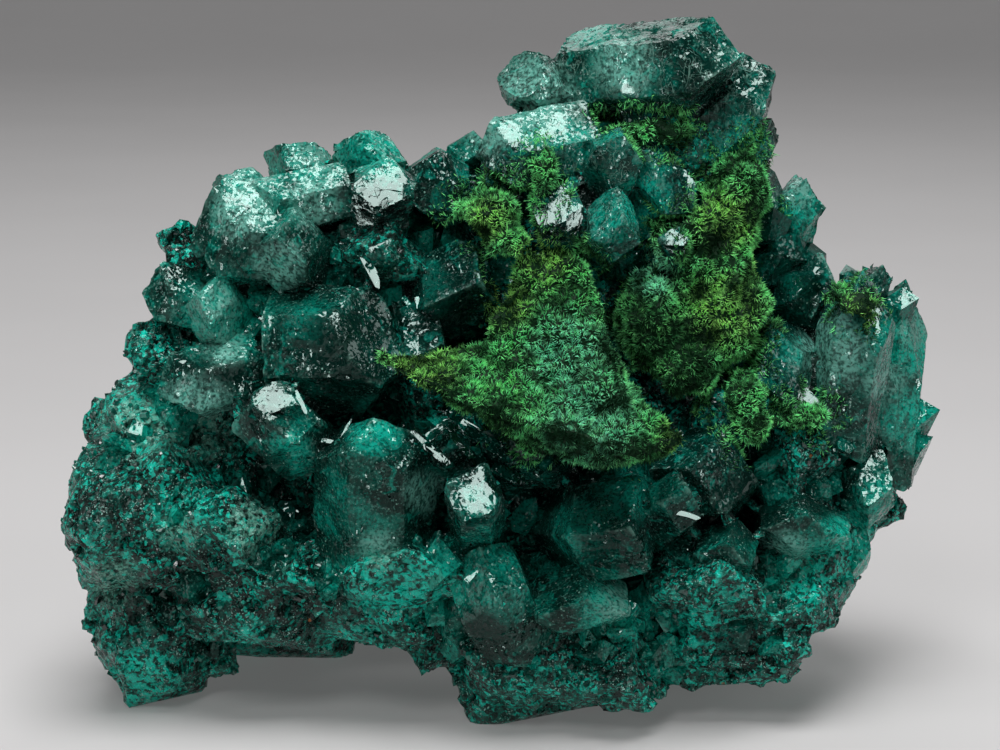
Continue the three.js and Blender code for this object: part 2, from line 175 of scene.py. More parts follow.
def cells(points: np.ndarray, size: float, seed: int) -> CellField:
    """Finds the random cell that each point lies in.

    Args:
        points: Points in millimetres.
        size: The breadth of a cell.
        seed: Chooses the field.

    Returns:
        The cells at those points.
    """
    q = points / size
    home = np.floor(q)
    best = np.full(len(points), 9.0)
    second = np.full(len(points), 9.0)
    centre = np.zeros_like(points)
    key = np.zeros_like(points)
    for step in product((-1, 0, 1), repeat=3):
        cell = home + step
        spot = cell + np.stack([hashed(cell, seed + k) for k in range(3)], axis=1)
        gap = np.linalg.norm(q - spot, axis=1)
        nearer = gap < best
        second = np.where(nearer, best, np.minimum(second, gap))
        best = np.where(nearer, gap, best)
        centre[nearer] = spot[nearer]
        key[nearer] = cell[nearer]
    return CellField((second - best) / 2, best, centre * size, key)


@dataclass
class Form:
    """A triangle mesh: points in millimetres, and three point numbers for each face."""

    points: np.ndarray
    faces: np.ndarray

    def edges(self) -> np.ndarray:
        """Each edge once, as two point numbers."""
        pairs = np.sort(self.faces[:, [0, 1, 1, 2, 2, 0]].reshape(-1, 2), axis=1)
        key = np.unique(pairs[:, 0] * len(self.points) + pairs[:, 1])
        return np.stack([key // len(self.points), key % len(self.points)], axis=1)

    def face_normals(self) -> np.ndarray:
        """Each face's normal, as long as twice the face's area."""
        a, b, c = (self.points[self.faces[:, k]] for k in range(3))
        return np.cross(b - a, c - a)

    def normals(self) -> np.ndarray:
        """The unit normal at each point."""
        out = self.face_normals()
        total = np.zeros_like(self.points)
        for k in range(3):
            for axis in range(3):
                total[:, axis] += np.bincount(
                    self.faces[:, k], out[:, axis], minlength=len(self.points)
                )
        return unit(total)

    def evened(self, values: np.ndarray, rounds: int) -> np.ndarray:
        """Averages a value over neighbouring points.

        Args:
            values: One row for each point.
            rounds: How many times; the reach grows with its square root.

        Returns:
            The averaged rows.
        """
        edges = self.edges()
        ends, starts = edges.T.ravel(), edges[:, ::-1].T.ravel()
        count = np.bincount(ends, minlength=len(self.points))
        flat = values.reshape(len(values), -1).astype(float)
        for _ in range(rounds):
            columns = [
                np.bincount(ends, flat[starts, k], minlength=len(flat)) / np.maximum(count, 1)
                for k in range(flat.shape[1])
            ]
            flat = 0.5 * flat + 0.5 * np.stack(columns, axis=1)
        return flat.reshape(values.shape)

    def bulge(self, rounds: int) -> np.ndarray:
        """How far each point stands proud of its surroundings, in millimetres."""
        return np.einsum("ij,ij->i", self.points - self.evened(self.points, rounds), self.normals())

    def largest_body(self) -> "Form":
        """The connected body with the most points."""
        edges = self.edges()
        label = np.arange(len(self.points))
        while True:
            low = np.minimum(label[edges[:, 0]], label[edges[:, 1]])
            new = label.copy()
            np.minimum.at(new, edges[:, 0], low)
            np.minimum.at(new, edges[:, 1], low)
            new = new[new]
            if np.array_equal(new, label):
                break
            label = new
        keep = label == np.bincount(label).argmax()
        renumber = np.cumsum(keep) - 1
        return Form(self.points[keep], renumber[self.faces[keep[self.faces[:, 0]]]])

    def tree(self) -> BVHTree:
        """A search tree over the faces."""
        return BVHTree.FromPolygons(self.points.tolist(), self.faces.tolist())


def welded(points: np.ndarray, faces: np.ndarray) -> Form:
    """Joins points that lie on each other, and drops the faces that this closes up."""
    _, first, same = np.unique(
        np.round(points / WELD).astype(np.int64), axis=0, return_index=True, return_inverse=True
    )
    faces = same.ravel()[faces]
    solid = (faces != np.roll(faces, 1, axis=1)).all(axis=1)
    return Form(points[first], faces[solid])


def form_of(mesh: bpy.types.Mesh, scale: float) -> Form:
    """Reads a Blender mesh.

    Args:
        mesh: The mesh to read.
        scale: Millimetres to one of its units.

    Returns:
        Its triangles, with points that lie on each other joined.
    """
    mesh.calc_loop_triangles()
    points = np.zeros(len(mesh.vertices) * 3, np.float32)
    mesh.vertices.foreach_get("co", points)
    faces = np.zeros(len(mesh.loop_triangles) * 3, np.int32)
    mesh.loop_triangles.foreach_get("vertices", faces)
    return welded(points.reshape(-1, 3).astype(float) * scale, faces.reshape(-1, 3).astype(int))


def solid_of(node: str) -> Form:
    """One of the specimen's solids, in millimetres."""
    return form_of(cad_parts[node].data, 1 / MM)


def together(forms: list[Form]) -> Form:
    """Several meshes as one."""
    offsets = np.cumsum([0] + [len(form.points) for form in forms[:-1]])
    return Form(
        np.concatenate([form.points for form in forms]),
        np.concatenate([form.faces + offset for form, offset in zip(forms, offsets)]),
    )


class Skin(Enum):
    """How a surface is laid anew over a solid."""

    CRISP = "SHARP"
    ROUND = "VOXEL"


def resurfaced(form: Form, cell: float, skin: Skin) -> Form:
    """Lays an even, fine mesh over a solid.

    Args:
        form: The solid.
        cell: The breadth of the new mesh's cells, in millimetres.
        skin: Whether the edges stay crisp.

    Returns:
        The new mesh.
    """
    mesh = bpy.data.meshes.new("forming")
    mesh.from_pydata(form.points, [], form.faces)
    shape = bpy.data.objects.new("forming", mesh)
    bpy.context.scene.collection.objects.link(shape)
    remesh = shape.modifiers.new("skin", "REMESH")
    remesh.mode = skin.value
    if skin is Skin.ROUND:
        remesh.voxel_size = cell
    else:
        length = float(np.ptp(form.points, axis=0).max())
        remesh.octree_depth = max(3, math.ceil(math.log2(length / cell / 0.95)))
        remesh.scale = length / cell / 2**remesh.octree_depth
        remesh.use_remove_disconnected = False
    graph = bpy.context.evaluated_depsgraph_get()
    made = form_of(shape.evaluated_get(graph).to_mesh(), 1.0)
    bpy.data.objects.remove(shape)
    bpy.data.meshes.remove(mesh)
    return made


def scattered(form: Form, count: int, rng: np.random.Generator) -> tuple[np.ndarray, np.ndarray]:
    """Random places spread evenly over a surface.

    Args:
        form: The surface.
        count: How many places.
        rng: The source of the draws.

    Returns:
        The points, and the surface's normals there.
    """
    normals = form.face_normals()
    area = np.linalg.norm(normals, axis=1)
    face = rng.choice(len(area), size=count, p=area / area.sum())
    u, v = rng.random((2, count, 1))
    fold = u + v > 1
    u, v = np.where(fold, 1 - u, u), np.where(fold, 1 - v, v)
    a, b, c = (form.points[form.faces[face, k]] for k in range(3))
    return a + u * (b - a) + v * (c - a), unit(normals[face])


def turned(axes: np.ndarray, roll: np.ndarray) -> np.ndarray:
    """Frames whose third direction is each axis, rolled about it.

    Args:
        axes: Unit vectors.
        roll: One angle for each.

    Returns:
        Rotation matrices, with the frame's directions as columns.
    """
    helper = np.where(np.abs(axes[:, 2:]) < 0.8, (0.0, 0.0, 1.0), (1.0, 0.0, 0.0))
    side = unit(np.cross(helper, axes))
    across = np.cross(axes, side)
    c, s = np.cos(roll)[:, None], np.sin(roll)[:, None]
    return np.stack([c * side + s * across, c * across - s * side, axes], axis=2)


def stamped(template: Form, places: np.ndarray, frames: np.ndarray, sizes: np.ndarray) -> Form:
    """Copies of one small form, each with its own place, turn and size.

    Args:
        template: The form, about its own origin.
        places: Where each copy's origin goes.
        frames: Each copy's rotation matrix.
        sizes: Each copy's size along its own three directions.

    Returns:
        All the copies as one mesh.
    """
    points = np.einsum("nij,nkj->nki", frames, template.points[None] * sizes[:, None])
    points += places[:, None]
    offsets = len(template.points) * np.arange(len(places))[:, None, None]
    return Form(points.reshape(-1, 3), (template.faces[None] + offsets).reshape(-1, 3))


def made_piece(
    name: str,
    form: Form,
    material: Material,
    replaced: list[str],
    marks: dict[str, np.ndarray],
) -> bpy.types.Object:
    """Hands a finished mesh to Blender as a piece of the specimen.

    Args:
        name: The piece's name.
        form: Its mesh, in millimetres.
        material: Its finish.
        replaced: The solids that it stands for.
        marks: Values kept at each point, which the finish reads by name.

    Returns:
        The new object.
    """
    mesh = bpy.data.meshes.new(name)
    mesh.from_pydata(form.points * MM, [], form.faces)
    mesh.validate()
    for mark, values in marks.items():
        mesh.attributes.new(mark, "FLOAT", "POINT").data.foreach_set(
            "value", np.clip(values, 0, 1).astype(np.float32)
        )
    mesh.materials.append(material)
    piece = bpy.data.objects.new(name, mesh)
    bpy.context.scene.collection.objects.link(piece)
    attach(piece, "root")
    if replaced:
        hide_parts(*replaced)
    log.info("%s: %d faces", name, len(form.faces))
    return piece


class Recipe:
    """Lays out the nodes of one material. Sizes are millimetres."""

    def __init__(self, name: str) -> None:
        """Starts a material with an empty recipe."""
        self.material = bpy.data.materials.new(name)
        self.material.use_nodes = True
        self.nodes = self.material.node_tree.nodes
        self.links = self.material.node_tree.links
        self.shader = next(node for node in self.nodes if node.type == "BSDF_PRINCIPLED")
        self.place = self.nodes.new("ShaderNodeTexCoord").outputs["Object"]

    def put(self, socket: Socket, value: object) -> None:
        """Links an output into a socket, or sets a plain value on it."""
        if isinstance(value, Socket):
            self.links.new(value, socket)
        elif isinstance(value, tuple) and len(value) == 3 and socket.type == "RGBA":
            socket.default_value = (*value, 1.0)
        else:
            socket.default_value = value

    def mark(self, name: str) -> Socket:
        """Reads a value kept at the mesh's points."""
        node = self.nodes.new("ShaderNodeAttribute")
        node.attribute_name = name
        return node.outputs["Fac"]

    def stretched(self, scale: tuple[float, float, float], turn: Colour) -> Socket:
        """The place, turned and stretched, for a pattern that runs one way."""
        node = self.nodes.new("ShaderNodeMapping")
        node.inputs["Rotation"].default_value = turn
        node.inputs["Scale"].default_value = scale
        self.links.new(self.place, node.inputs["Vector"])
        return node.outputs["Vector"]

    def noise(
        self, size: float, detail: float, twist: float = 0.0, place: Socket | None = None
    ) -> Socket:
        """Cloudy noise from 0 to 1, with finer noise added as often as detail says."""
        node = self.nodes.new("ShaderNodeTexNoise")
        node.inputs["Scale"].default_value = 1 / (size * MM)
        node.inputs["Detail"].default_value = detail
        node.inputs["Distortion"].default_value = twist
        self.links.new(place or self.place, node.inputs["Vector"])
        return node.outputs["Fac"]

    def voronoi(self, size: float, place: Socket | None) -> bpy.types.Node:
        """Random cells over the surface's own place, or over one that is stretched or crooked."""
        node = self.nodes.new("ShaderNodeTexVoronoi")
        node.inputs["Scale"].default_value = 1 / (size * MM)
        self.links.new(place or self.place, node.inputs["Vector"])
        return node

    def channel(self, colour: Socket, number: int) -> Socket:
        """One of a colour's three values."""
        split = self.nodes.new("ShaderNodeSeparateColor")
        self.links.new(colour, split.inputs[0])
        return split.outputs[number]

    def cells(self, size: float, place: Socket | None = None) -> Socket:
        """The distance from the middle of random cells, in cell sizes."""
        return self.voronoi(size, place).outputs["Distance"]

    def tones(self, size: float, place: Socket | None = None) -> Socket:
        """Random cells, each of one even tone from 0 to 1."""
        return self.channel(self.voronoi(size, place).outputs["Color"], 0)

    def warped(self, size: float, reach: float) -> Socket:
        """The place, pushed about by noise, so that borders read from it run crooked."""
        node = self.nodes.new("ShaderNodeTexNoise")
        node.inputs["Scale"].default_value = 1 / (size * MM)
        node.inputs["Detail"].default_value = 0.0
        self.links.new(self.place, node.inputs["Vector"])
        push = self.nodes.new("ShaderNodeVectorMath")
        push.operation = "MULTIPLY_ADD"
        self.links.new(node.outputs["Color"], push.inputs[0])
        push.inputs[1].default_value = (reach * MM,) * 3
        self.links.new(self.place, push.inputs[2])
        return push.outputs["Vector"]

    def between(
        self, value: Socket, low: float, high: float, to: tuple[float, float] = (0, 1)
    ) -> Socket:
        """Maps low to high smoothly onto another range, and holds it there beyond."""
        node = self.nodes.new("ShaderNodeMapRange")
        node.interpolation_type = "SMOOTHSTEP"
        self.links.new(value, node.inputs["Value"])
        node.inputs["From Min"].default_value = low
        node.inputs["From Max"].default_value = high
        node.inputs["To Min"].default_value = to[0]
        node.inputs["To Max"].default_value = to[1]
        return node.outputs["Result"]

    def contours(self, value: Socket, width: float, level: float = 0.5) -> Socket:
        """Thin wandering lines, where a noise crosses a level."""
        gap = self.maths("ABSOLUTE", self.maths("SUBTRACT", value, level), 0.0)
        return self.between(gap, width, 0.4 * width)

    def times(self, *values: object) -> Socket:
        """The product of several values."""
        product_so_far = values[0]
        for value in values[1:]:
            product_so_far = self.maths("MULTIPLY", product_so_far, value)
        return product_so_far

    def most(self, *values: object) -> Socket:
        """The largest of several values."""
        largest = values[0]
        for value in values[1:]:
            largest = self.maths("MAXIMUM", largest, value)
        return largest

    def maths(self, operation: str, a: object, b: object) -> Socket:
        """One step of arithmetic."""
        node = self.nodes.new("ShaderNodeMath")
        node.operation = operation
        self.put(node.inputs[0], a)
        self.put(node.inputs[1], b)
        return node.outputs["Value"]

    def mixed(self, factor: object, a: object, b: object) -> Socket:
        """A blend of two colours."""
        node = self.nodes.new("ShaderNodeMix")
        node.data_type = "RGBA"
        self.put(node.inputs["Factor"], factor)
        self.put(node.inputs[6], a)
        self.put(node.inputs[7], b)
        return node.outputs[2]

    def bump(self, height: Socket, reach: float, under: Socket | None = None) -> Socket:
        """Turns a height from 0 to 1 into relief that is reach millimetres tall."""
        node = self.nodes.new("ShaderNodeBump")
        node.inputs["Distance"].default_value = reach * MM
        self.links.new(height, node.inputs["Height"])
        if under:
            self.links.new(under, node.inputs["Normal"])
        return node.outputs["Normal"]

    def vector(self, operation: str, a: object, b: object) -> Socket:
        """One step of vector arithmetic."""
        node = self.nodes.new("ShaderNodeVectorMath")
        node.operation = operation
        self.put(node.inputs[0], a)
        self.put(node.inputs["Scale" if operation == "SCALE" else 1], b)
        return node.outputs["Vector"]

    def rise(self, normal: Socket) -> Socket:
        """How far a normal points up, from -1 to 1."""
        split = self.nodes.new("ShaderNodeSeparateXYZ")
        self.links.new(normal, split.inputs["Vector"])
        return split.outputs["Z"]

    def glints(
        self,
        size: float,
        lean: Colour,
        under: Socket,
        where: object = 1.0,
        place: Socket | None = None,
        share: float = 1.0,
    ) -> Socket:
        """Breaks the surface into small flat facets, each leaning its own way.

        Args:
            size: The breadth of a facet.
            lean: How far the facets lean along X, Y and Z, as slopes.
            under: The relief that they are laid over.
            where: How strongly they show at each place.
            place: The place, when it is stretched.
            share: The share of the facets that lean; the rest lie flat.

        Returns:
            The normal.
        """
        draws = self.voronoi(size, place).outputs["Color"]
        tilt = self.vector("SUBTRACT", draws, (0.5, 0.5, 0.5))
        tilt = self.vector("MULTIPLY", tilt, tuple(2 * part for part in lean))
        if share < 1:
            leaning = self.maths("GREATER_THAN", self.channel(draws, 2), 1 - share)
            where = self.maths("MULTIPLY", leaning, where)
        tilt = self.vector("SCALE", tilt, where)
        return self.vector("NORMALIZE", self.vector("ADD", tilt, under), (0.0, 0.0, 0.0))

    def shade(self, **sockets: object) -> Material:
        """Sets the shader's sockets, with _ for the spaces of their names.

        Args:
            sockets: A value or an output for each socket.

        Returns:
            The finished material.
        """
        for name, value in sockets.items():
            self.put(self.shader.inputs[name.replace("_", " ")], value)
        return self.material


@dataclass(frozen=True)
class CrystalFinish:
    """Dark green glass, teal where it is thin as painted light shining through, with pale scratches,
    cracks, worn edges that are also painted edge highlights, painted sparkles, and painted shade where
    marked dark.
    """

    deep: Colour = (0.0004, 0.013, 0.0095)
    middle: Colour = (0.001, 0.11, 0.078)
    teal: Colour = (0.007, 0.56, 0.41)
    mint: Colour = (0.15, 0.44, 0.36)
    scratch: Colour = (0.16, 0.32, 0.26)
    shine: Colour = (0.78, 1.0, 0.94)
    ior: float = 1.67
    clear: float = 0.3
    mirror: tuple[float, float] = (0.14, 0.42)

    def material(self) -> Material:
        """Builds the finish from the marks thin, worn, teal, mint, dark, silver and scratched."""
        r = Recipe("dioptase_glass")
        swirl = r.noise(1.5, 3, 0.9)
        across = r.noise(1.0, 2, 0.4, r.stretched((1.0, 1.0, 0.35), (0.0, 0.6, 0.4)))
        lines = r.most(r.contours(swirl, 0.012), r.contours(across, 0.016, 0.46))
        lines = r.times(lines, r.between(r.noise(2.2, 2), 0.4, 0.6, (0.1, 0.75)), r.mark("scratched"))
        # Worn edges turn pale, as wear and as painted edge highlights.
        wear_and_edge_highlight = r.times(r.mark("worn"), r.between(r.noise(0.8, 3), 0.44, 0.6, (0, 0.5)))
        # Painted sparkles: small pale specks that stand in for glints.
        painted_sparkles = r.times(r.between(r.cells(0.62), 0.2, 0.13), r.between(r.noise(1.9, 2), 0.5, 0.6))
        pale = r.most(lines, wear_and_edge_highlight, painted_sparkles)
        # Painted shade: the places marked dark keep as little as 0.12 of their light.
        light = r.between(r.mark("dark"), 0.0, 1.0, (1, 0.12))
        vein = r.between(r.noise(1.1, 3, 1.0), 0.36, 0.6, (0.25, 1))
        # Painted light: teal glows where the glass is thin, as light shining through, and where it is
        # marked teal; both fade in the painted shade.
        glow = r.times(r.most(r.mark("thin"), r.mark("teal")), vein, light)
        silver = r.times(r.mark("silver"), r.between(r.noise(1.6, 3, 0.6), 0.34, 0.42))
        relief = self.relief(r, self.sheen(r, silver), silver, r.between(across, 0.36, 0.4))
        gloss = r.between(r.noise(1.9, 2), 0.45, 0.7, (0.03, 0.12))
        return r.shade(
            Base_Color=r.mixed(pale, self.body(r, swirl, light, glow), self.scratch),
            Roughness=r.most(gloss, r.times(pale, 0.5)),
            IOR=self.ior,
            # Painted shade beneath: faces that point down reflect less, as the floor under the
            # crystals lies in their shadow.
            Specular_IOR_Level=r.between(r.rise(relief), -0.1, 0.1, self.mirror),
            Specular_Tint=self.shine,
            Transmission_Weight=r.times(glow, self.clear),
            Normal=relief,
        )

    def body(self, r: Recipe, swirl: Socket, light: Socket, glow: Socket) -> Socket:
        """The colour of the glass: clouds, teal glow, mint bloom that is in places a painted
        highlight, and grain, dimmed by painted shade.

        Args:
            r: The recipe of the finish.
            swirl: The noise that its veins follow.
            light: How lit each place is, from 0 to 1.
            glow: How strongly the teal shines through.

        Returns:
            The colour.
        """
        inner = r.tones(2.6, r.warped(2.0, 0.7))
        cloud = r.times(inner, r.between(r.noise(3.6, 3, 0.5), 0.38, 0.66), light)
        body = r.mixed(cloud, self.deep, self.middle)
        body = r.mixed(glow, body, self.teal)
        # Mint bloom, which in places is a painted highlight.
        bloom = r.times(r.mark("mint"), r.between(r.noise(0.6, 4, 0.4), 0.36, 0.6, (0.2, 1)))
        body = r.mixed(bloom, body, self.mint)
        body = r.mixed(r.times(r.between(swirl, 0.56, 0.7, (0, 0.3)), light), body, self.teal)
        grain = r.noise(0.3, 3)
        body = r.mixed(r.between(grain, 0.48, 0.38, (0, 0.6)), body, self.deep)
        return r.mixed(r.times(r.between(grain, 0.58, 0.66, (0, 0.3)), light), body, self.mint)

    def relief(self, r: Recipe, facing: Socket, silver: Socket, strokes: Socket) -> Socket:
        """The fine relief: pits and strokes, and small facets that glint.

        Args:
            r: The recipe of the finish.
            facing: The normal beneath the relief.
            silver: How far the facets lean towards the light, which calms the glints.
            strokes: Fine grooves, 0 at their bottom.

        Returns:
            The normal.
        """
        calm = r.between(silver, 0.5, 0.1)
        pits = r.between(r.cells(0.55, r.warped(0.5, 0.6)), 0.14, 0.26)
        pitted = r.maths("ADD", pits, r.between(r.noise(2.4, 2), 0.6, 0.45))
        hollow = r.maths("MINIMUM", r.maths("MINIMUM", pitted, strokes), 1.0)
        relief = r.bump(hollow, 0.06, r.bump(r.noise(1.6, 1), 0.03, facing))
        relief = r.glints(0.9, (0.03, 0.03, 0.03), relief)
        rough = r.times(r.between(r.noise(2.8, 3, 0.4), 0.44, 0.56), calm)
        relief = r.glints(0.3, (0.22, 0.22, 0.22), relief, rough)
        broken = r.times(r.between(r.noise(3.4, 2, 0.5), 0.52, 0.58), calm)
        broken = r.times(broken, r.between(r.noise(0.4, 2, 1.0), 0.46, 0.5))
        for turn in ((0.6, 0.5, 0.3), (-0.5, 1.1, 0.9)):
            along = r.stretched((1.0, 1.0, 0.24), turn)
            relief = r.glints(0.34, (0.5, 0.5, 1.0), relief, broken, along, 0.24)
        return relief

    def sheen(self, r: Recipe, silver: Socket) -> Socket:
        """Leans the facets marked silver towards the light overhead.

        Args:
            r: The recipe of the finish.
            silver: How far they lean at each place, from 0 to 1.

        Returns:
            The normal.
        """
        flat = r.nodes.new("ShaderNodeNewGeometry").outputs["Normal"]
        turned_to = r.vector("SUBTRACT", SHEEN, flat)
        leaned = r.vector("SCALE", turned_to, silver)
        return r.vector("NORMALIZE", r.vector("ADD", flat, leaned), (0.0, 0.0, 0.0))


@dataclass(frozen=True)
class OreFinish:
    """Granular copper ore: green grains, black hollows that are painted shade, teal patches and rust
    specks.
    """

    black: Colour = (0.0008, 0.008, 0.006)
    green: Colour = (0.001, 0.1, 0.072)
    grey: Colour = (0.03, 0.17, 0.125)
    teal: Colour = (0.006, 0.6, 0.45)
    pale: Colour = (0.4, 0.72, 0.62)
    dust: Colour = (0.15, 0.4, 0.31)
    rust: Colour = (0.3, 0.09, 0.02)
    shine: Colour = (0.8, 1.0, 0.94)
    ior: float = 1.5
    mirror: float = 0.4

    def material(self) -> Material:
        """Builds the finish from the marks deep, worn, dark, mint and teal."""
        r = Recipe("granular_ore")
        crooked = r.warped(0.4, 0.5)
        grain = r.cells(0.34, crooked)
        relief = r.bump(r.noise(0.5, 3, 0.4), 0.2)
        relief = r.bump(r.between(grain, 0.0, 0.5), 0.12, relief)
        return r.shade(
            Base_Color=self.body(r, crooked, grain),
            Roughness=r.between(r.noise(0.8, 2), 0.4, 0.6, (0.08, 0.36)),
            IOR=self.ior,
            Specular_IOR_Level=self.mirror,
            Specular_Tint=self.shine,
            Normal=r.glints(0.55, (0.35, 0.35, 0.5), relief),
        )

    def body(self, r: Recipe, crooked: Socket, grain: Socket) -> Socket:
        """The colour of the grains, the hollows between them and the dust on them.

        Args:
            r: The recipe of the finish.
            crooked: The place that the grains' borders are read from.
            grain: How far each place is from the middle of its grain.

        Returns:
            The colour.
        """
        dusted = r.times(r.mark("worn"), r.between(r.noise(5.0, 3), 0.4, 0.6))
        body = r.mixed(dusted, self.green, self.grey)
        broad = r.between(r.noise(6.0, 3), 0.35, 0.65, (-0.14, 0.1))
        zones = r.maths("ADD", r.noise(1.3, 4, 0.4), broad)
        # Painted shade: the places marked dark sink further into black.
        zones = r.maths("SUBTRACT", zones, r.between(r.mark("dark"), 0.0, 1.0, (0, 0.14)))
        body = r.mixed(r.between(zones, 0.38, 0.6), self.black, body)
        tint = r.times(r.mark("teal"), r.between(r.noise(1.0, 3, 0.5), 0.38, 0.58))
        body = r.mixed(tint, body, self.teal)
        vein = r.between(r.noise(0.5, 3), 0.52, 0.64, (0, 0.6))
        vein = r.most(vein, r.between(r.tones(0.5, crooked), 0.7, 0.9, (0, 0.9)))
        body = r.mixed(vein, body, self.teal)
        body = r.mixed(r.between(r.tones(0.42, crooked), 0.36, 0.2, (0, 0.85)), body, self.black)
        # Pale bloom, which in places is a painted highlight.
        bloom = r.times(r.mark("mint"), r.between(r.noise(0.5, 4), 0.4, 0.58, (0, 0.85)))
        body = r.mixed(bloom, body, self.dust)
        # Painted shade: deep hollows and the places marked dark turn black.
        painted_shade = r.times(r.mark("dark"), r.between(r.noise(1.8, 3), 0.38, 0.52, (0.2, 0.75)))
        body = r.mixed(r.most(r.mark("deep"), painted_shade), body, self.black)
        # Painted glints: the middles of some grains turn pale.
        glint = r.times(r.between(grain, 0.32, 0.16, (0, 0.9)), r.between(r.noise(1.6, 3), 0.45, 0.58))
        body = r.mixed(glint, body, self.pale)
        speck = r.times(r.between(r.cells(3.1), 0.09, 0.05), r.between(r.noise(9, 2), 0.5, 0.6))
        return r.mixed(speck, body, self.rust)


@dataclass(frozen=True)
class DruseFinish:
    """The crust of tiny crystals: each its own green, from near black to teal, and glassy."""

    dark: Colour = (0.001, 0.02, 0.015)
    teal: Colour = (0.006, 0.26, 0.19)
    ior: float = 1.67

    def material(self) -> Material:
        """Builds the finish from the marks tone and teal."""
        r = Recipe("druse_glass")
        body = r.mixed(r.most(r.mark("tone"), r.mark("teal")), self.dark, self.teal)
        body = r.mixed(r.between(r.noise(0.9, 5, 0.6), 0.42, 0.62, (0, 0.8)), body, self.dark)
        relief = r.bump(r.noise(0.7, 5, 0.4), 0.06)
        return r.shade(
            Base_Color=body,
            Roughness=r.between(r.noise(1.2, 3), 0.4, 0.7, (0.04, 0.2)),
            IOR=self.ior,
            Normal=r.glints(0.7, (0.08, 0.08, 0.08), relief),
        )


@dataclass(frozen=True)
class MossFinish:
    """Mineral needles: dark at the root and light at the tip as painted shade within the tufts, from
    blue-green to yellow-green.
    """

    root: Colour = (0.002, 0.02, 0.006)
    leaf: Colour = (0.19, 0.95, 0.32)
    sea: Colour = (0.24, 0.95, 0.58)
    lime: Colour = (0.4, 0.95, 0.2)

    def material(self) -> Material:
        """Builds the finish from the marks tip, lime and sea."""
        r = Recipe("mineral_needles")
        body = r.mixed(r.mark("sea"), self.leaf, self.sea)
        body = r.mixed(r.mark("lime"), body, self.lime)
        body = r.mixed(r.between(r.noise(1.0, 5), 0.47, 0.62, (0, 0.75)), body, self.root)
        # Painted shade: each needle darkens towards its root and the bed beneath is near black, as the
        # depths of the tufts lie in shade.
        body = r.mixed(r.between(r.mark("tip"), 0.05, 0.6), self.root, body)
        return r.shade(
            Base_Color=body,
            Roughness=r.between(r.noise(0.8, 2), 0.4, 0.6, (0.45, 0.65)),
            Specular_IOR_Level=0.1,
            Normal=r.bump(r.noise(0.25, 3), 0.02),
        )


@dataclass(frozen=True)
class PaperFinish:
    """The studio's pale seamless paper, lit a little from beneath."""

    colour: Colour = (0.5, 0.49, 0.49)
    mottle: float = 0.97
    light: Colour = (1.0, 0.99, 0.99)
    glow: float = 0.1

    def material(self) -> Material:
        """Builds the paper with a faint mottle."""
        r = Recipe("seamless_paper")
        shade = tuple(self.mottle * part for part in self.colour)
        return r.shade(
            Base_Color=r.mixed(r.between(r.noise(60, 2), 0.3, 0.7), self.colour, shade),
            Roughness=0.9,
            Emission_Color=self.light,
            Emission_Strength=self.glow,
        )


@dataclass(frozen=True)
class Patch:
    """A round place in the front view, in millimetres across and up, that takes its own look."""

    across: float
    up: float
    reach: float

    def share(self, places: np.ndarray) -> np.ndarray:
        """How much each place of the view lies in the patch, fading out towards its reach."""
        gap = np.linalg.norm(places - (self.across, self.up), axis=1)
        return 1 - eased(gap, 0.35 * self.reach, self.reach)


def laid(*rows: tuple[float, float, float]) -> tuple[Patch, ...]:
    """Several patches, each from its across, up and reach."""
    return tuple(Patch(*row) for row in rows)


def share_of(places: np.ndarray, patches: tuple[Patch, ...]) -> np.ndarray:
    """The most that any of the patches covers each place of the front view."""
    return np.max([patch.share(places) for patch in patches], axis=0)


def coverage(form: Form, patches: tuple[Patch, ...]) -> np.ndarray:
    """The most that any of the patches covers each point that faces the front view."""
    front = eased(form.normals() @ VIEW_BACK, -0.1, 0.3)
    return front * share_of(sighted(form.points), patches)


def tinged(form: Form) -> np.ndarray:
    """The teal of each point: the patches of the front, and faint clouds all round."""
    clouds = 0.5 * eased(noise(form.points, 8.0, 91, 2), 0.3, 0.8)
    return np.maximum(coverage(form, TEAL_PATCHES), clouds)


TEAL_PATCHES = laid(
    (-34.6, 19.1, 4.5), (-13, 11.5, 6), (-7, 12, 6), (-30.4, 41.2, 6.5), (-27, 57.5, 5),
    (-20, 59, 5), (-13.4, 60, 5), (39, 15.3, 6), (34, 13, 5), (13.6, 8.4, 5.5), (9, 18, 4),
    (14, 22, 4.5), (33, 51.5, 5), (-17.3, 4.5, 4.5), (-27, 4.5, 4), (-39, 1, 6), (-13.4, 29, 4),
    (46, 38, 5), (46, 30, 5), (22, 6, 5), (-40, 30, 5), (-8, 44, 4), (16, 54, 4), (27, 60, 4),
    (-23, 26, 3.5),
)
# Pale mint bloom, and in places painted highlights, as at the top of the teal ledge.
MINT_AND_HIGHLIGHT_PATCHES = laid(
    (4.0, 65.5, 6.0), (-27, 57.5, 4), (-20, 59, 3.5), (-28, 53, 4.5), (-20, 54, 4),
    (33, 55, 2.5), (46, 40, 3.0), (42.5, 34, 3.0), (37.0, 37.5, 5.5), (14, 69, 4.5),
    (-31, 42.5, 3.5), (-30, 38, 3), (-24, 47, 3.6), (-1, 61.5, 3.5), (-33, 30, 6), (-40, 29, 5),
    (-26.5, 18, 4.5), (-13, 15.5, 3), (-42, 12, 4), (-8, 22, 3), (14, 9.5, 4), (32, 15, 3.5),
    (-35, 17.5, 3),
)
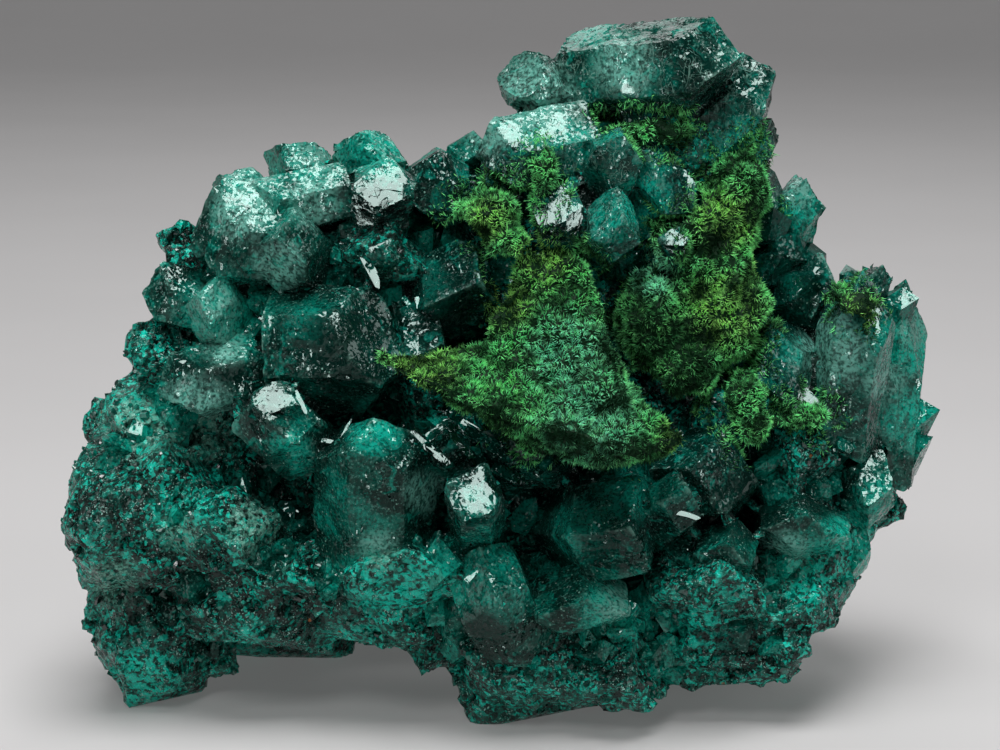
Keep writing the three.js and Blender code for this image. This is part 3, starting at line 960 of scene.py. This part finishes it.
# Places in painted shade: the finishes darken and blacken what these patches cover.
PAINTED_SHADE_PATCHES = laid(
    (-17.3, 37.5, 8), (22.3, 67.8, 4), (-6.3, 43, 6), (-31, 34.2, 5), (11.3, 18.8, 6),
    (27.3, 19.9, 6), (-1.9, 5.6, 5), (13.5, 2.3, 4), (-41.5, 19.9, 4), (-38.2, 10, 4.5),
    (-18.4, 10, 5), (33.3, 44.1, 4), (6.9, 27.6, 6), (-25, 24, 4), (-42.6, 26.5, 4),
    (-22.5, 7.5, 6), (-35, 8, 5), (-6.5, 7, 4), (-44, 20, 4), (-32, 13, 4), (26, 5, 5),
    (36, 22, 4),
)
SILVER_PATCHES = laid(
    (-12.9, 53.8, 4.8), (-13.6, 50.5, 3.0), (6.9, 52.2, 4.2), (19.9, 49.0, 2.4),
    (-2.4, 21.0, 3.6), (-24.8, 31.5, 3.2), (41.0, 41.0, 2.4), (34.1, 32.3, 2.2),
    (-6.5, 27.5, 2.4), (21.5, 57.0, 2.4), (15.0, 66.0, 2.0), (1.5, 61.5, 2.2), (6.0, 62.5, 2.0),
)


class Place(Enum):
    """Where a clump stands on the specimen, by a part of its node's name."""

    CROWN = "crown"
    RIGHT = "right"
    BACK = "back"
    ELSEWHERE = ""


@dataclass
class CrystalGroup:
    """One clump of dioptase crystals that have grown together.

    Attributes:
        node: The solid that it stands for.
        seed: Chooses its growth marks.
        cell: The breadth of its mesh's cells.
        scratched: How strongly pale scratches show, from 0 to 1.
        plate: The breadth of the growth plates on a crystal's face.
        tilt: How far a plate leans, as a slope.
        step: How far one plate stands above the next.
        swell: The height of the gentle waves in a face.
        chip: How far a worn edge is broken back.
        bite: How deep the breaks in corners are.
        striae: The height of the upright grooves along the faces.
    """

    node: str
    seed: int
    cell: float = 0.4
    scratched: float = 0.12
    plate: float = 4.2
    tilt: float = 0.06
    step: float = 0.22
    swell: float = 0.06
    chip: float = 0.28
    bite: float = 0.5
    striae: float = 0.04

    @classmethod
    def at(cls, node: str, seed: int) -> "CrystalGroup":
        """A clump with the mesh and the marks of the place where it stands.

        Args:
            node: The solid that it stands for.
            seed: Chooses its growth marks.

        Returns:
            The clump.
        """
        place = next(place for place in Place if place.value in node)
        own = {
            Place.CROWN: {"scratched": 0.75},
            Place.RIGHT: {"striae": 0.16},
            Place.BACK: {"cell": 0.5},
            Place.ELSEWHERE: {},
        }
        return cls(node, seed, **own[place])

    def plates(self, points: np.ndarray, size: float, number: int) -> np.ndarray:
        """The height of growth plates, each a flat facet with its own lean and level.

        Args:
            points: Points in millimetres.
            size: The breadth of a plate.
            number: Chooses the field.

        Returns:
            Heights in millimetres, 0 where two plates meet.
        """
        seed = self.seed + number
        found = cells(points, size, seed)
        lean = np.stack([found.draw(seed + 5 + k) - 0.5 for k in range(3)], axis=1)
        height = 2 * self.tilt * np.einsum("ij,ij->i", lean, points - found.centre)
        height += self.step * size / self.plate * (found.draw(seed + 9) - 0.5)
        return height * eased(found.edge * size, 0.0, 0.4)

    def relief(self, form: Form, proud: np.ndarray, wide: np.ndarray) -> np.ndarray:
        """The height of the growth marks at each point.

        Args:
            form: The crystals' mesh.
            proud: How far each point stands out from its nearest surroundings.
            wide: How far it stands out from its wider surroundings.

        Returns:
            Heights in millimetres.
        """
        points = form.points
        height = self.plates(points, self.plate, 10) + self.plates(points, 0.4 * self.plate, 30)
        height += self.swell * noise(points, 6.0, self.seed + 40, 2)
        height += self.striae * noise(points * (1.0, 1.0, 0.1), 1.1, self.seed + 45)
        broken = eased(noise(points, 1.5, self.seed + 60, 2), 0.1, 0.5)
        height -= self.chip * broken * eased(proud, 0.03, 0.25)
        gap = eased(noise(points, 3.6, self.seed + 70, 2), 0.25, 0.4)
        return height - self.bite * gap * eased(wide, 0.3, 1.0)

    def build(self) -> tuple[Form, dict[str, np.ndarray]]:
        """Makes the mesh, and the marks that the finish reads."""
        form = resurfaced(solid_of(self.node), self.cell, Skin.CRISP)
        proud, wide = form.bulge(5), form.bulge(60)
        normals = form.normals()
        form.points = form.points + normals * self.relief(form, proud, wide)[:, None]
        lean = form.evened(normals, 2) @ np.array(SHEEN)
        plates = sighted(cells(form.points, 1.9, self.seed + 80).centre)
        silver = share_of(plates, SILVER_PATCHES) > 0.35
        silver = silver * coverage(form, SILVER_PATCHES) ** 0.3
        marks = {
            # thin: where a point stands out from its wider surroundings, the finish paints teal light
            # shining through.
            "thin": eased(wide, 0.5, 1.6),
            # worn: the edges, which the finish paints pale as wear and as edge highlights.
            "worn": eased(form.bulge(5), 0.09, 0.24),
            "teal": tinged(form),
            "mint": coverage(form, MINT_AND_HIGHLIGHT_PATCHES),
            "dark": coverage(form, PAINTED_SHADE_PATCHES),
            "silver": 0.95 * silver * eased(lean, -0.25, -0.05),
            "scratched": np.full(len(form.points), self.scratched),
        }
        return form, marks

    def dress(self, material: Material) -> bpy.types.Object:
        """Builds the clump and hands it over as a piece."""
        form, marks = self.build()
        name = f"{self.node}_facets"
        return made_piece(name, form, material, [self.node], marks)


FULL_PATCHES = laid(
    (-47.5, 20, 8), (-46.5, 26, 5), (-45.5, 13, 5),
)


@dataclass
class OreSkin:
    """The granular ore, as one closed skin that also runs on beneath the crystals.

    Attributes:
        cell: The breadth of its mesh's cells.
        meet: How far the solids are swollen so that they meet.
        bury: How far the skin lies beneath the crystals' faces.
        lump: The height of its rounded masses.
        block: The height of its angular blocks.
        grit: The height of its fine grains.
        full: How far it swells where the outline is fuller than the solids.
        fills: Blocks that fill it out: across, up and depth in the front view, and breadth.
    """

    cell: float = 0.66
    meet: float = 0.34
    bury: float = 1.1
    lump: float = 1.0
    block: float = 1.1
    grit: float = 0.3
    full: float = 1.1
    fills: tuple[tuple[float, float, float, float], ...] = (
        (-30.6, 3.8, -2.0, 4.4),
        (-11.0, 6.8, -8.0, 4.4),
        (-7.5, 5.0, -7.0, 4.6),
        (20.5, 2.8, -8.0, 4.5),
        (25.0, 3.0, -10.0, 4.8),
        (29.0, 3.4, -11.0, 5.0),
        (32.0, 4.4, -11.0, 5.4),
        (43.0, 21.0, 4.5, 4.6),
    )

    def swollen(self, node: str) -> Form:
        """A solid with its faces moved out until it meets its neighbours."""
        form = solid_of(node)
        return Form(form.points + self.meet * form.normals(), form.faces)

    def build(self, crystals: list[str]) -> tuple[Form, dict[str, np.ndarray]]:
        """Makes the skin.

        Args:
            crystals: The crystals' solids, which it runs on beneath.

        Returns:
            The mesh, and the marks that the finish reads.
        """
        rng = np.random.default_rng(55)
        solids = [self.swollen("ore")] + [self.swollen(node) for node in crystals]
        for across, up, depth, breadth in self.fills:
            turn = turned(unit(rng.normal(size=(1, 3))), rng.random(1))
            sizes = breadth * np.array([[1.0, 1.0, 0.8]])
            solids.append(stamped(small_crystal(rng), seen(across, up, depth)[None], turn, sizes))
        form = resurfaced(together(solids), self.cell, Skin.ROUND).largest_body()
        ore = solid_of("ore").tree()
        glass = together([solid_of(node) for node in crystals]).tree()
        bare = np.array(
            [ore.find_nearest(p)[3] < glass.find_nearest(p)[3] for p in map(Vector, form.points)]
        )
        covered = form.evened((~bare).astype(float)[:, None], 4)[:, 0]
        points, normals = form.points, form.normals()
        lumps = cells(points + 1.2 * noise(points, 4.0, 75, 2)[:, None], 6.5, 76)
        height = self.lump * (0.35 - lumps.middle**2)
        blocks = cells(points + 0.3 * noise(points, 1.5, 72)[:, None], 3.2, 73)
        lean = np.stack([blocks.draw(80 + k) - 0.5 for k in range(3)], axis=1)
        slope = np.einsum("ij,ij->i", lean, points - blocks.centre)
        height += self.block * (0.5 * slope + 0.3 * (blocks.draw(85) - 0.5))
        grit = cells(points, 1.0, 74)
        height += self.grit * (0.5 - grit.middle) - 0.15
        height += self.full * share_of(sighted(points), FULL_PATCHES)
        height = height * (1 - covered) - self.bury * covered - self.meet
        floor = eased(points[:, 2], 0.3, 2.0)
        form.points = points + normals * (height * floor)[:, None]
        form.points[:, 2] = np.maximum(form.points[:, 2], 0.0)
        wide = form.bulge(40)
        marks = {
            # deep: how far a point lies in a hollow; the ore's finish blackens it as painted shade,
            # and the crust gathers there.
            "deep": eased(-wide, 0.25, 1.4),
            "worn": eased(form.bulge(4), 0.03, 0.2),
            # teal: the teal patches and clouds, raised on the bulges as painted light on what stands
            # out.
            "teal": np.maximum(tinged(form), 0.7 * eased(wide, 0.5, 1.6)),
            "dark": coverage(form, PAINTED_SHADE_PATCHES),
            "mint": coverage(form, MINT_AND_HIGHLIGHT_PATCHES),
            "bare": 1 - covered,
        }
        return form, marks

    def dress(
        self, crystals: list[str], material: Material
    ) -> tuple[Form, dict[str, np.ndarray]]:
        """Builds the skin, hands it over as a piece and returns its mesh and marks."""
        form, marks = self.build(crystals)
        made_piece("ore_skin", form, material, ["ore"], marks)
        return form, marks


def small_crystal(rng: np.random.Generator) -> Form:
    """A crooked six-sided prism of width 1 with three sloping tip faces, sunk at its root.

    Args:
        rng: The source of the draws that make it crooked.

    Returns:
        Its mesh.
    """
    turn = np.arange(6) * math.pi / 3 + rng.uniform(-0.25, 0.25, 6)
    ring = np.stack([np.cos(turn), np.sin(turn)], axis=1) * rng.uniform(0.42, 0.62, (6, 1))
    shoulder = np.where(np.arange(6) % 2, 0.62, 0.35)[:, None] + ring @ rng.uniform(-0.5, 0.5, (2, 1))
    low = np.concatenate([1.15 * ring, np.full((6, 1), -0.6)], axis=1)
    high = np.concatenate([ring, shoulder], axis=1)
    points = np.concatenate([low, high, [(*rng.uniform(-0.15, 0.15, 2), 0.85)]])
    faces = [(0, 2, 1), (0, 3, 2), (0, 4, 3), (0, 5, 4)]
    for side in range(6):
        after = (side + 1) % 6
        faces += [(side, after, 6 + after), (side, 6 + after, 6 + side), (6 + side, 6 + after, 12)]
    return Form(points, np.array(faces))


@dataclass
class Druse:
    """The crust of tiny crystals in the hollows and over the ore.

    Attributes:
        name: The piece's name.
        count: How many crystals.
        sizes: The least and the most of their widths.
        lean: How far they lean from upright.
        rise: The least and the most of their heights, as shares of their widths.
        hollow: How much they keep to the hollows, from 0 to 1.
        seed: Chooses their places.
    """

    name: str
    count: int
    sizes: tuple[float, float]
    lean: float
    rise: tuple[float, float]
    hollow: float
    seed: int

    def build(self, skin: Form, bare: np.ndarray, deep: np.ndarray) -> tuple[Form, dict]:
        """Makes the crust.

        Args:
            skin: The surface that it grows on.
            bare: How much each of its points is free of crystals.
            deep: How deep in a hollow each of its points is.

        Returns:
            The mesh, and the marks that the finish reads.
        """
        rng = np.random.default_rng(self.seed)
        wanted = bare * ((1 - self.hollow) + self.hollow * deep)
        open_faces = wanted[skin.faces].min(axis=1) > 0.5 * rng.random(len(skin.faces)) + 0.08
        ground = Form(skin.points, skin.faces[open_faces])
        places, normals = scattered(ground, self.count, rng)
        least, most = self.sizes
        width = least * (most / least) ** (rng.random(len(places)) ** 1.6)
        high = (places[:, 2] > FEET_CLEAR + 0.7 * width) & (normals[:, 2] > -0.45)
        places, normals, width = places[high], normals[high], width[high]
        axes = unit(normals + self.lean * unit(rng.normal(size=places.shape)))
        parts = [rng.uniform(low, top, len(width)) for low, top in ((0.7, 1.2), (0.7, 1.2), self.rise)]
        sizes = width[:, None] * np.stack(parts, axis=1)
        frames = turned(axes, rng.uniform(0, 2 * math.pi, len(places)))
        groups = np.array_split(np.arange(len(places)), SHAPES)
        forms = [stamped(small_crystal(rng), places[g], frames[g], sizes[g]) for g in groups]
        form = together(forms)
        tone = np.repeat(rng.random(len(places)) ** 2.2, len(form.points) // len(places))
        return form, {"tone": tone, "thin": 0.7 * tone, "teal": 0.8 * tinged(form)}

    def dress(self, skin: Form, marks: dict, material: Material) -> bpy.types.Object:
        """Builds the crust and hands it over as a piece."""
        form, own = self.build(skin, marks["bare"], marks["deep"])
        return made_piece(self.name, form, material, [], own)


@dataclass
class SmallCrystals:
    """Small crystals that fill out what the solids leave open.

    Attributes:
        name: The piece's name.
        roots: Where they stand, across and up in the front view, and their widths.
        depth: Their own Y before the specimen was moved over the origin.
        lean: Which way they point, before each turns a little on its own.
        long: Their length for their width.
        thin: How far they let light through.
        dark: How far they lie in the shade.
    """

    name: str
    roots: tuple[tuple[float, float, float], ...]
    depth: float
    lean: tuple[float, float, float]
    long: float
    thin: float
    dark: float

    def dress(self, material: Material) -> bpy.types.Object:
        """Builds the crystals and hands them over as a piece."""
        rng = np.random.default_rng(77)
        forms = []
        for across, up, width in self.roots:
            strayed = np.array([rng.uniform(-0.4, 0.3), 0.0, rng.uniform(-0.3, 0.1)])
            axis = unit((strayed + self.lean)[None])
            place = seen(across, up, self.depth)[None]
            sizes = width * np.array([[1.0, 1.0, self.long]]) * rng.uniform(0.9, 1.1)
            forms.append(stamped(small_crystal(rng), place, turned(axis, rng.random(1)), sizes))
        form = together(forms)
        marks = {
            "thin": np.full(len(form.points), self.thin),
            "dark": np.full(len(form.points), self.dark),
            "teal": tinged(form) * (1 - self.dark),
        }
        return made_piece(self.name, form, material, [], marks)


GAP_ROOTS = (
    (32.4, 43.5, 6.5),
    (31.4, 48.8, 5.0),
    (34.2, 46.6, 4.0),
    (29.2, 46.6, 5.0),
    (28.8, 51.0, 5.0),
    (29.0, 55.0, 4.2),
)
RIM_ROOTS = (
    (43.2, 41.6, 4.2),
    (41.3, 44.6, 2.6),
    (39.2, 45.0, 2.6),
    (44.9, 29.6, 4.2),
    (44.6, 26.2, 3.6),
)


@dataclass
class Splinters:
    """Thin broken blades of crystal that catch the light overhead.

    Attributes:
        rows: Where each lies in the front view, across and up, its turn in degrees, length, width and
            how far it stands out.
        sheen: How far they lean towards the light, from 0 to 1.
    """

    rows: tuple[tuple[float, float, float, float, float, float], ...] = (
        (-7.6, 27.2, -41, 5.1, 1.1, 0.6),
        (-4.1, 27.8, -50, 4.2, 1.0, 1.5),
        (-1.6, 28.0, -23, 4.3, 0.9, 1.5),
        (-2.2, 25.6, -66, 3.4, 1.2, 1.5),
        (1.2, 24.0, -28, 4.0, 1.1, 1.4),
        (5.4, 25.3, 48, 4.0, 0.8, 1.4),
        (7.2, 25.9, 62, 2.6, 0.6, 1.4),
        (0.2, 26.3, -35, 3.0, 0.7, 1.4),
        (-2.9, 29.2, -35, 2.6, 0.6, 1.4),
        (20.4, 19.5, -13, 3.2, 0.5, 0.2),
        (-13.9, 46.5, -63, 3.8, 0.9, 0.3),
        (-1.3, 46.9, -37, 3.8, 0.7, 0.5),
        (-9.7, 42.6, -50, 2.4, 0.5, 0.3),
        (-8.7, 42.7, -80, 1.6, 0.4, 0.3),
        (33.8, 32.6, -33, 3.6, 1.2, 0.3),
        (24.2, 34.4, -55, 4.3, 0.9, 0.6),
        (-2.3, 13.3, 47, 3.6, 0.5, 0.2),
        (-17.3, 30.4, 20, 3.0, 0.35, 0.4),
        (-18.9, 27.6, -10, 4.0, 0.35, 0.4),
        (-21.7, 32.0, -60, 2.6, 0.5, 0.4),
        (-16.7, 28.7, 60, 2.4, 0.3, 0.4),
    )
    sheen: float = 0.95

    def dress(self, grounds: Form, material: Material) -> bpy.types.Object:
        """Lays the splinters on the crystals and the ore and hands them over as a piece."""
        rng = np.random.default_rng(88)
        tree = grounds.tree()
        eye = VIEW_EYE + SHIFT
        forms = []
        for across, up, turn, length, width, proud in self.rows:
            sight = unit(seen(across, up, 0.0) - eye)
            hit = np.array(tree.ray_cast(Vector(eye), Vector(sight))[0])
            facing = unit(VIEW_BACK + 0.25 * rng.normal(size=3))
            angle = math.radians(turn)
            along = math.cos(angle) * VIEW_RIGHT + math.sin(angle) * VIEW_UP
            along = unit(along - (along @ facing) * facing)
            turned_to = np.stack([np.cross(facing, along), facing, along], axis=1)[None]
            sizes = np.array([[width, 0.5 * width, 0.7 * length]])
            place = (hit - proud * sight)[None]
            forms.append(stamped(small_crystal(rng), place, turned_to, sizes))
        form = together(forms)
        marks = {"silver": np.full(len(form.points), self.sheen), "teal": tinged(form)}
        return made_piece("splinters", form, material, [], marks)


@dataclass
class MossPatch:
    """A patch of mineral needles that fills its solid up to the surface.

    Attributes:
        node: The solid that it stands for.
        seed: Chooses the needles' places.
        density: Needles to a square millimetre.
        tuft: The breadth of one tuft.
        cushion: The breadth of a cushion of tufts.
        length: The least and the most of the needles' lengths.
        thick: A needle's width at its root.
        fringe: How far single tufts stray onto the neighbours.
        bed: How far the bed lies beneath the solid's surface.
    """

    node: str
    seed: int
    density: float = 26.0
    tuft: float = 1.0
    cushion: float = 2.8
    length: tuple[float, float] = (0.4, 0.9)
    thick: float = 0.15
    fringe: float = 2.4
    bed: float = 0.75

    def strays(
        self, solid: Form, others: Form, rng: np.random.Generator
    ) -> tuple[np.ndarray, np.ndarray]:
        """Roots on the neighbours close by, fewer and fewer away from the patch.

        Args:
            solid: The patch's solid.
            others: Its neighbours.
            rng: The source of the draws.

        Returns:
            The roots, and the neighbours' normals there.
        """
        corners = others.points[others.faces]
        low, high = solid.points.min(axis=0) - self.fringe, solid.points.max(axis=0) + self.fringe
        near = (corners.max(axis=1) > low).all(axis=1) & (corners.min(axis=1) < high).all(axis=1)
        ground = Form(others.points, others.faces[near])
        area = np.linalg.norm(ground.face_normals(), axis=1).sum() / 2
        roots, normals = scattered(ground, int(area * self.density * 0.7), rng)
        tree = solid.tree()
        gaps = np.array([tree.find_nearest(Vector(p), self.fringe)[3] or self.fringe for p in roots])
        spread = (1 - gaps / self.fringe) * (0.7 + noise(roots, 1.6, self.seed + 31))
        keep = (spread > 0.75 * rng.random(len(roots))) & (normals[:, 1] < 0.5)
        return roots[keep], normals[keep]

    def needles(
        self, bed: Form, solid: Form, others: Form, rng: np.random.Generator
    ) -> tuple[Form, dict]:
        """Grows the needles on the bed and around it.

        Args:
            bed: The bed's surface.
            solid: The patch's solid.
            others: The neighbours, which no needle of the bed grows against.
            rng: The source of the draws.

        Returns:
            The needles' mesh, and their marks.
        """
        area = np.linalg.norm(bed.face_normals(), axis=1).sum() / 2
        roots, normals = scattered(bed, int(area * self.density), rng)
        walls = others.tree()
        probes = roots + normals * (self.bed + 0.4)
        free = np.array([walls.find_nearest(Vector(p))[3] > 0.5 for p in probes])
        free &= roots[:, 2] > 0.8
        stray_roots, stray_normals = self.strays(solid, others, rng)
        roots = np.concatenate([roots[free], stray_roots])
        normals = np.concatenate([normals[free], stray_normals])
        tufts = cells(roots, self.tuft, self.seed + 5)
        out = (roots - tufts.centre) / self.tuft
        out -= normals * np.einsum("ij,ij->i", out, normals)[:, None]
        cushions = cells(roots, self.cushion, self.seed + 15)
        away = unit(normals + 1.7 * out + 0.3 * rng.normal(size=roots.shape))
        long = rng.uniform(*self.length, len(roots))[:, None]
        long = long * (1.15 - 0.6 * np.minimum(tufts.middle, 0.8))[:, None]
        frames = turned(away, rng.uniform(0, 2 * math.pi, len(roots)))
        turn = np.arange(3) * 2 * math.pi / 3
        ring = np.stack([np.cos(turn), np.sin(turn)], axis=1)
        side = np.einsum("nij,kj->nki", frames[:, :, :2], ring) * (self.thick / 2)
        start = (roots - 0.1 * away)[:, None] + side
        points = np.concatenate([start, (roots + long * away)[:, None]], axis=1)
        faces = np.array([(0, 2, 1), (0, 1, 3), (1, 2, 3), (2, 0, 3)])
        offsets = 4 * np.arange(len(roots))[:, None, None]
        form = Form(points.reshape(-1, 3), (faces[None] + offsets).reshape(-1, 3))
        along = np.tile([0.1] * 3 + [1.0], len(roots))
        # Painted shade: needles far from a cushion's middle, where the bed sinks, take less of their
        # light tip colour.
        along *= np.repeat(1.1 - 0.8 * eased(cushions.middle, 0.3, 0.8), 4)
        light = np.repeat(tufts.draw(self.seed + 6) * 0.6 + 0.4 * rng.random(len(roots)), 4)
        return form, {"tip": along, "light": light}

    def build(self, others: Form) -> tuple[Form, dict[str, np.ndarray]]:
        """Makes the bed and its needles, and the marks that the finish reads."""
        rng = np.random.default_rng(self.seed)
        solid = solid_of(self.node)
        bed = resurfaced(solid, 0.6, Skin.ROUND)
        tufts = cells(bed.points, self.tuft, self.seed + 5)
        cushions = cells(bed.points, self.cushion, self.seed + 15)
        sunk = self.bed + 0.4 * tufts.middle + 1.7 * cushions.middle**2 - 0.5
        bed.points = bed.points - bed.normals() * sunk[:, None]
        needles, own = self.needles(bed, solid, others, rng)
        form = together([bed, needles])
        places = sighted(form.points)
        lime = 0.12 + 0.75 * share_of(places, LIME_PATCHES)
        light = np.concatenate([np.zeros(len(bed.points)), own["light"]])
        shaded = share_of(places, SHADE_PATCHES) * (1 - 0.6 * eased(light, 0.6, 0.75))
        marks = {
            "tip": np.concatenate([np.zeros(len(bed.points)), own["tip"]]) * (1 - 0.7 * shaded),
            "lime": np.clip(lime + 0.5 * (light - 0.5), 0, 1),
            "sea": share_of(places, SEA_PATCHES),
        }
        return form, marks

    def dress(self, others: Form, material: Material) -> bpy.types.Object:
        """Builds the patch and hands it over as a piece."""
        form, marks = self.build(others)
        return made_piece(f"{self.node}_needles", form, material, [self.node], marks)


LIME_PATCHES = laid(
    (5, 47.5, 4.5), (1, 43, 4.5), (-8, 36.5, 6), (20.5, 28, 4), (25, 52, 5), (25, 42, 6),
    (-1, 52, 3.5), (40, 42, 3), (30, 47, 3),
)
SEA_PATCHES = laid(
    (8, 37, 7), (10, 30, 8), (17, 46, 4),
)
SHADE_PATCHES = laid(
    (16.5, 39.5, 6.5), (18.4, 34.3, 5.0), (21.5, 38, 4.0), (0.3, 29.3, 3.6), (6.9, 27.2, 3.6),
    (12.4, 25.6, 3.6), (17.9, 24.5, 3.4), (0.5, 41.5, 3.0), (24.5, 49.5, 3.4),
    (-6.0, 33.4, 3.0), (-2.0, 50.0, 2.6),
)


@dataclass
class Studio:
    """The pale paper sweep, the softboxes and the camera.

    Attributes:
        reach: How far the paper runs to each side.
        back: Where the paper starts to rise behind the specimen.
        bend: The radius of that rise.
        height: How tall the paper stands.
        hang: How far the softboxes hang from the point that they face.
        aim: How high that point is.
        lens: The camera's focal length.
        film: The breadth of the camera's sensor.
        softboxes: Each one's name, azimuth, elevation, width and height, and glow.
        room: The colour of the dim room.
        dim: How bright the room is.
    """

    reach: float = 2200.0
    back: float = 700.0
    bend: float = 500.0
    height: float = 1600.0
    hang: float = 500.0
    aim: float = 40.0
    lens: float = 100.0
    film: float = 36.0
    softboxes: tuple[tuple[str, float, float, tuple[float, float], float], ...] = (
        ("overhead", 4, 74, (300, 260), 10.6),
        ("front_key", -14, 40, (130, 130), 9.0),
        ("left_strip", -66, 34, (80, 300), 2.2),
        ("right_strip", 70, 30, (80, 300), 2.2),
        ("back_rim", 170, 45, (500, 200), 1.6),
    )
    room: Colour = (0.3, 0.3, 0.31)
    dim: float = 0.12

    def paper(self) -> None:
        """Lays the seamless paper under and behind the specimen."""
        turn = np.linspace(0, math.pi / 2, 17)
        arc_y = self.back + self.bend * np.sin(turn)
        arc_z = self.bend * (1 - np.cos(turn))
        y = np.concatenate([[-self.reach], arc_y, [self.back + self.bend]])
        z = np.concatenate([[0.0], arc_z, [self.height]])
        rows = [[(x, b, c) for b, c in zip(y, z)] for x in (-self.reach, self.reach)]
        points = np.array(rows).reshape(-1, 3) * MM
        count = len(y)
        faces = [(k, k + count, k + count + 1, k + 1) for k in range(count - 1)]
        mesh = bpy.data.meshes.new("paper")
        mesh.from_pydata(points, [], faces)
        mesh.shade_smooth()
        mesh.materials.append(PaperFinish().material())
        sheet = bpy.data.objects.new("paper", mesh)
        bpy.context.scene.collection.objects.link(sheet)

    def softbox(
        self, name: str, azimuth: float, elevation: float, size: tuple[float, float], glow: float
    ) -> None:
        """Hangs a rectangular softbox that faces the specimen.

        Args:
            name: The light's name.
            azimuth: Degrees from the viewer's side towards the right, as seen from the specimen.
            elevation: Degrees above the floor.
            size: Its width and height in millimetres.
            glow: How bright its face is.
        """
        a, e = math.radians(azimuth), math.radians(elevation)
        way = Vector((math.sin(a) * math.cos(e), -math.cos(a) * math.cos(e), math.sin(e)))
        light = bpy.data.lights.new(name, "AREA")
        light.shape = "RECTANGLE"
        light.size, light.size_y = size[0] * MM, size[1] * MM
        light.energy = glow * math.pi * light.size * light.size_y
        lamp = bpy.data.objects.new(name, light)
        bpy.context.scene.collection.objects.link(lamp)
        lamp.location = (Vector((0, 0, self.aim)) + way * self.hang) * MM
        lamp.rotation_mode = "QUATERNION"
        lamp.rotation_quaternion = way.to_track_quat("Z", "Y")

    def camera(self) -> None:
        """Sets up the camera of the photograph's view."""
        lens = bpy.data.cameras.new("camera")
        lens.lens = self.lens
        lens.sensor_width = self.film
        lens.clip_start, lens.clip_end = 0.01, 10
        camera = bpy.data.objects.new("camera", lens)
        bpy.context.scene.collection.objects.link(camera)
        camera.location = Vector((VIEW_EYE + SHIFT) * MM)
        camera.rotation_mode = "QUATERNION"
        camera.rotation_quaternion = Vector(VIEW_BACK).to_track_quat("Z", "Y")
        bpy.context.scene.camera = camera

    def build(self) -> None:
        """Sets up the whole studio."""
        self.paper()
        self.camera()
        for row in self.softboxes:
            self.softbox(*row)
        world = bpy.data.worlds.new("room")
        world.use_nodes = True
        background = world.node_tree.nodes["Background"]
        background.inputs["Color"].default_value = (*self.room, 1)
        background.inputs["Strength"].default_value = self.dim
        bpy.context.scene.world = world
        bpy.context.scene.view_settings.view_transform = "Standard"


def main() -> None:
    """Builds the specimen piece by piece, then the studio."""
    logging.basicConfig(level=logging.INFO, format="%(message)s")
    nodes = sorted(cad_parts)
    crystals = [node for node in nodes if "_crystals" in node]
    mosses = [node for node in nodes if node.endswith("_moss")]
    glass = CrystalFinish().material()
    for number, node in enumerate(crystals):
        CrystalGroup.at(node, CRYSTAL_SEED + SEED_STEP * number).dress(glass)
    skin, marks = OreSkin().dress(crystals, OreFinish().material())
    druse = DruseFinish().material()
    Druse("ore_druse", 4300, (0.3, 1.1), 0.9, (0.3, 0.7), 0.0, 41).dress(skin, marks, druse)
    Druse("hollow_druse", 3600, (1.0, 3.8), 1.0, (0.5, 1.2), 1.0, 42).dress(skin, marks, glass)
    SmallCrystals("gap_crystals", GAP_ROOTS, 0.5, (0.0, -1.0, 0.0), 0.7, 0.1, 0.6).dress(glass)
    SmallCrystals("rim_crystals", RIM_ROOTS, 3.0, (0.1, -0.5, 1.0), 1.0, 0.35, 0.0).dress(glass)
    needles = MossFinish().material()
    others = together([solid_of(node) for node in nodes if node not in mosses])
    Splinters().dress(together([skin, others]), glass)
    for number, node in enumerate(mosses):
        MossPatch(node, MOSS_SEED + SEED_STEP * number).dress(others, needles)
    Studio().build()


if __name__ == "__main__":
    main()
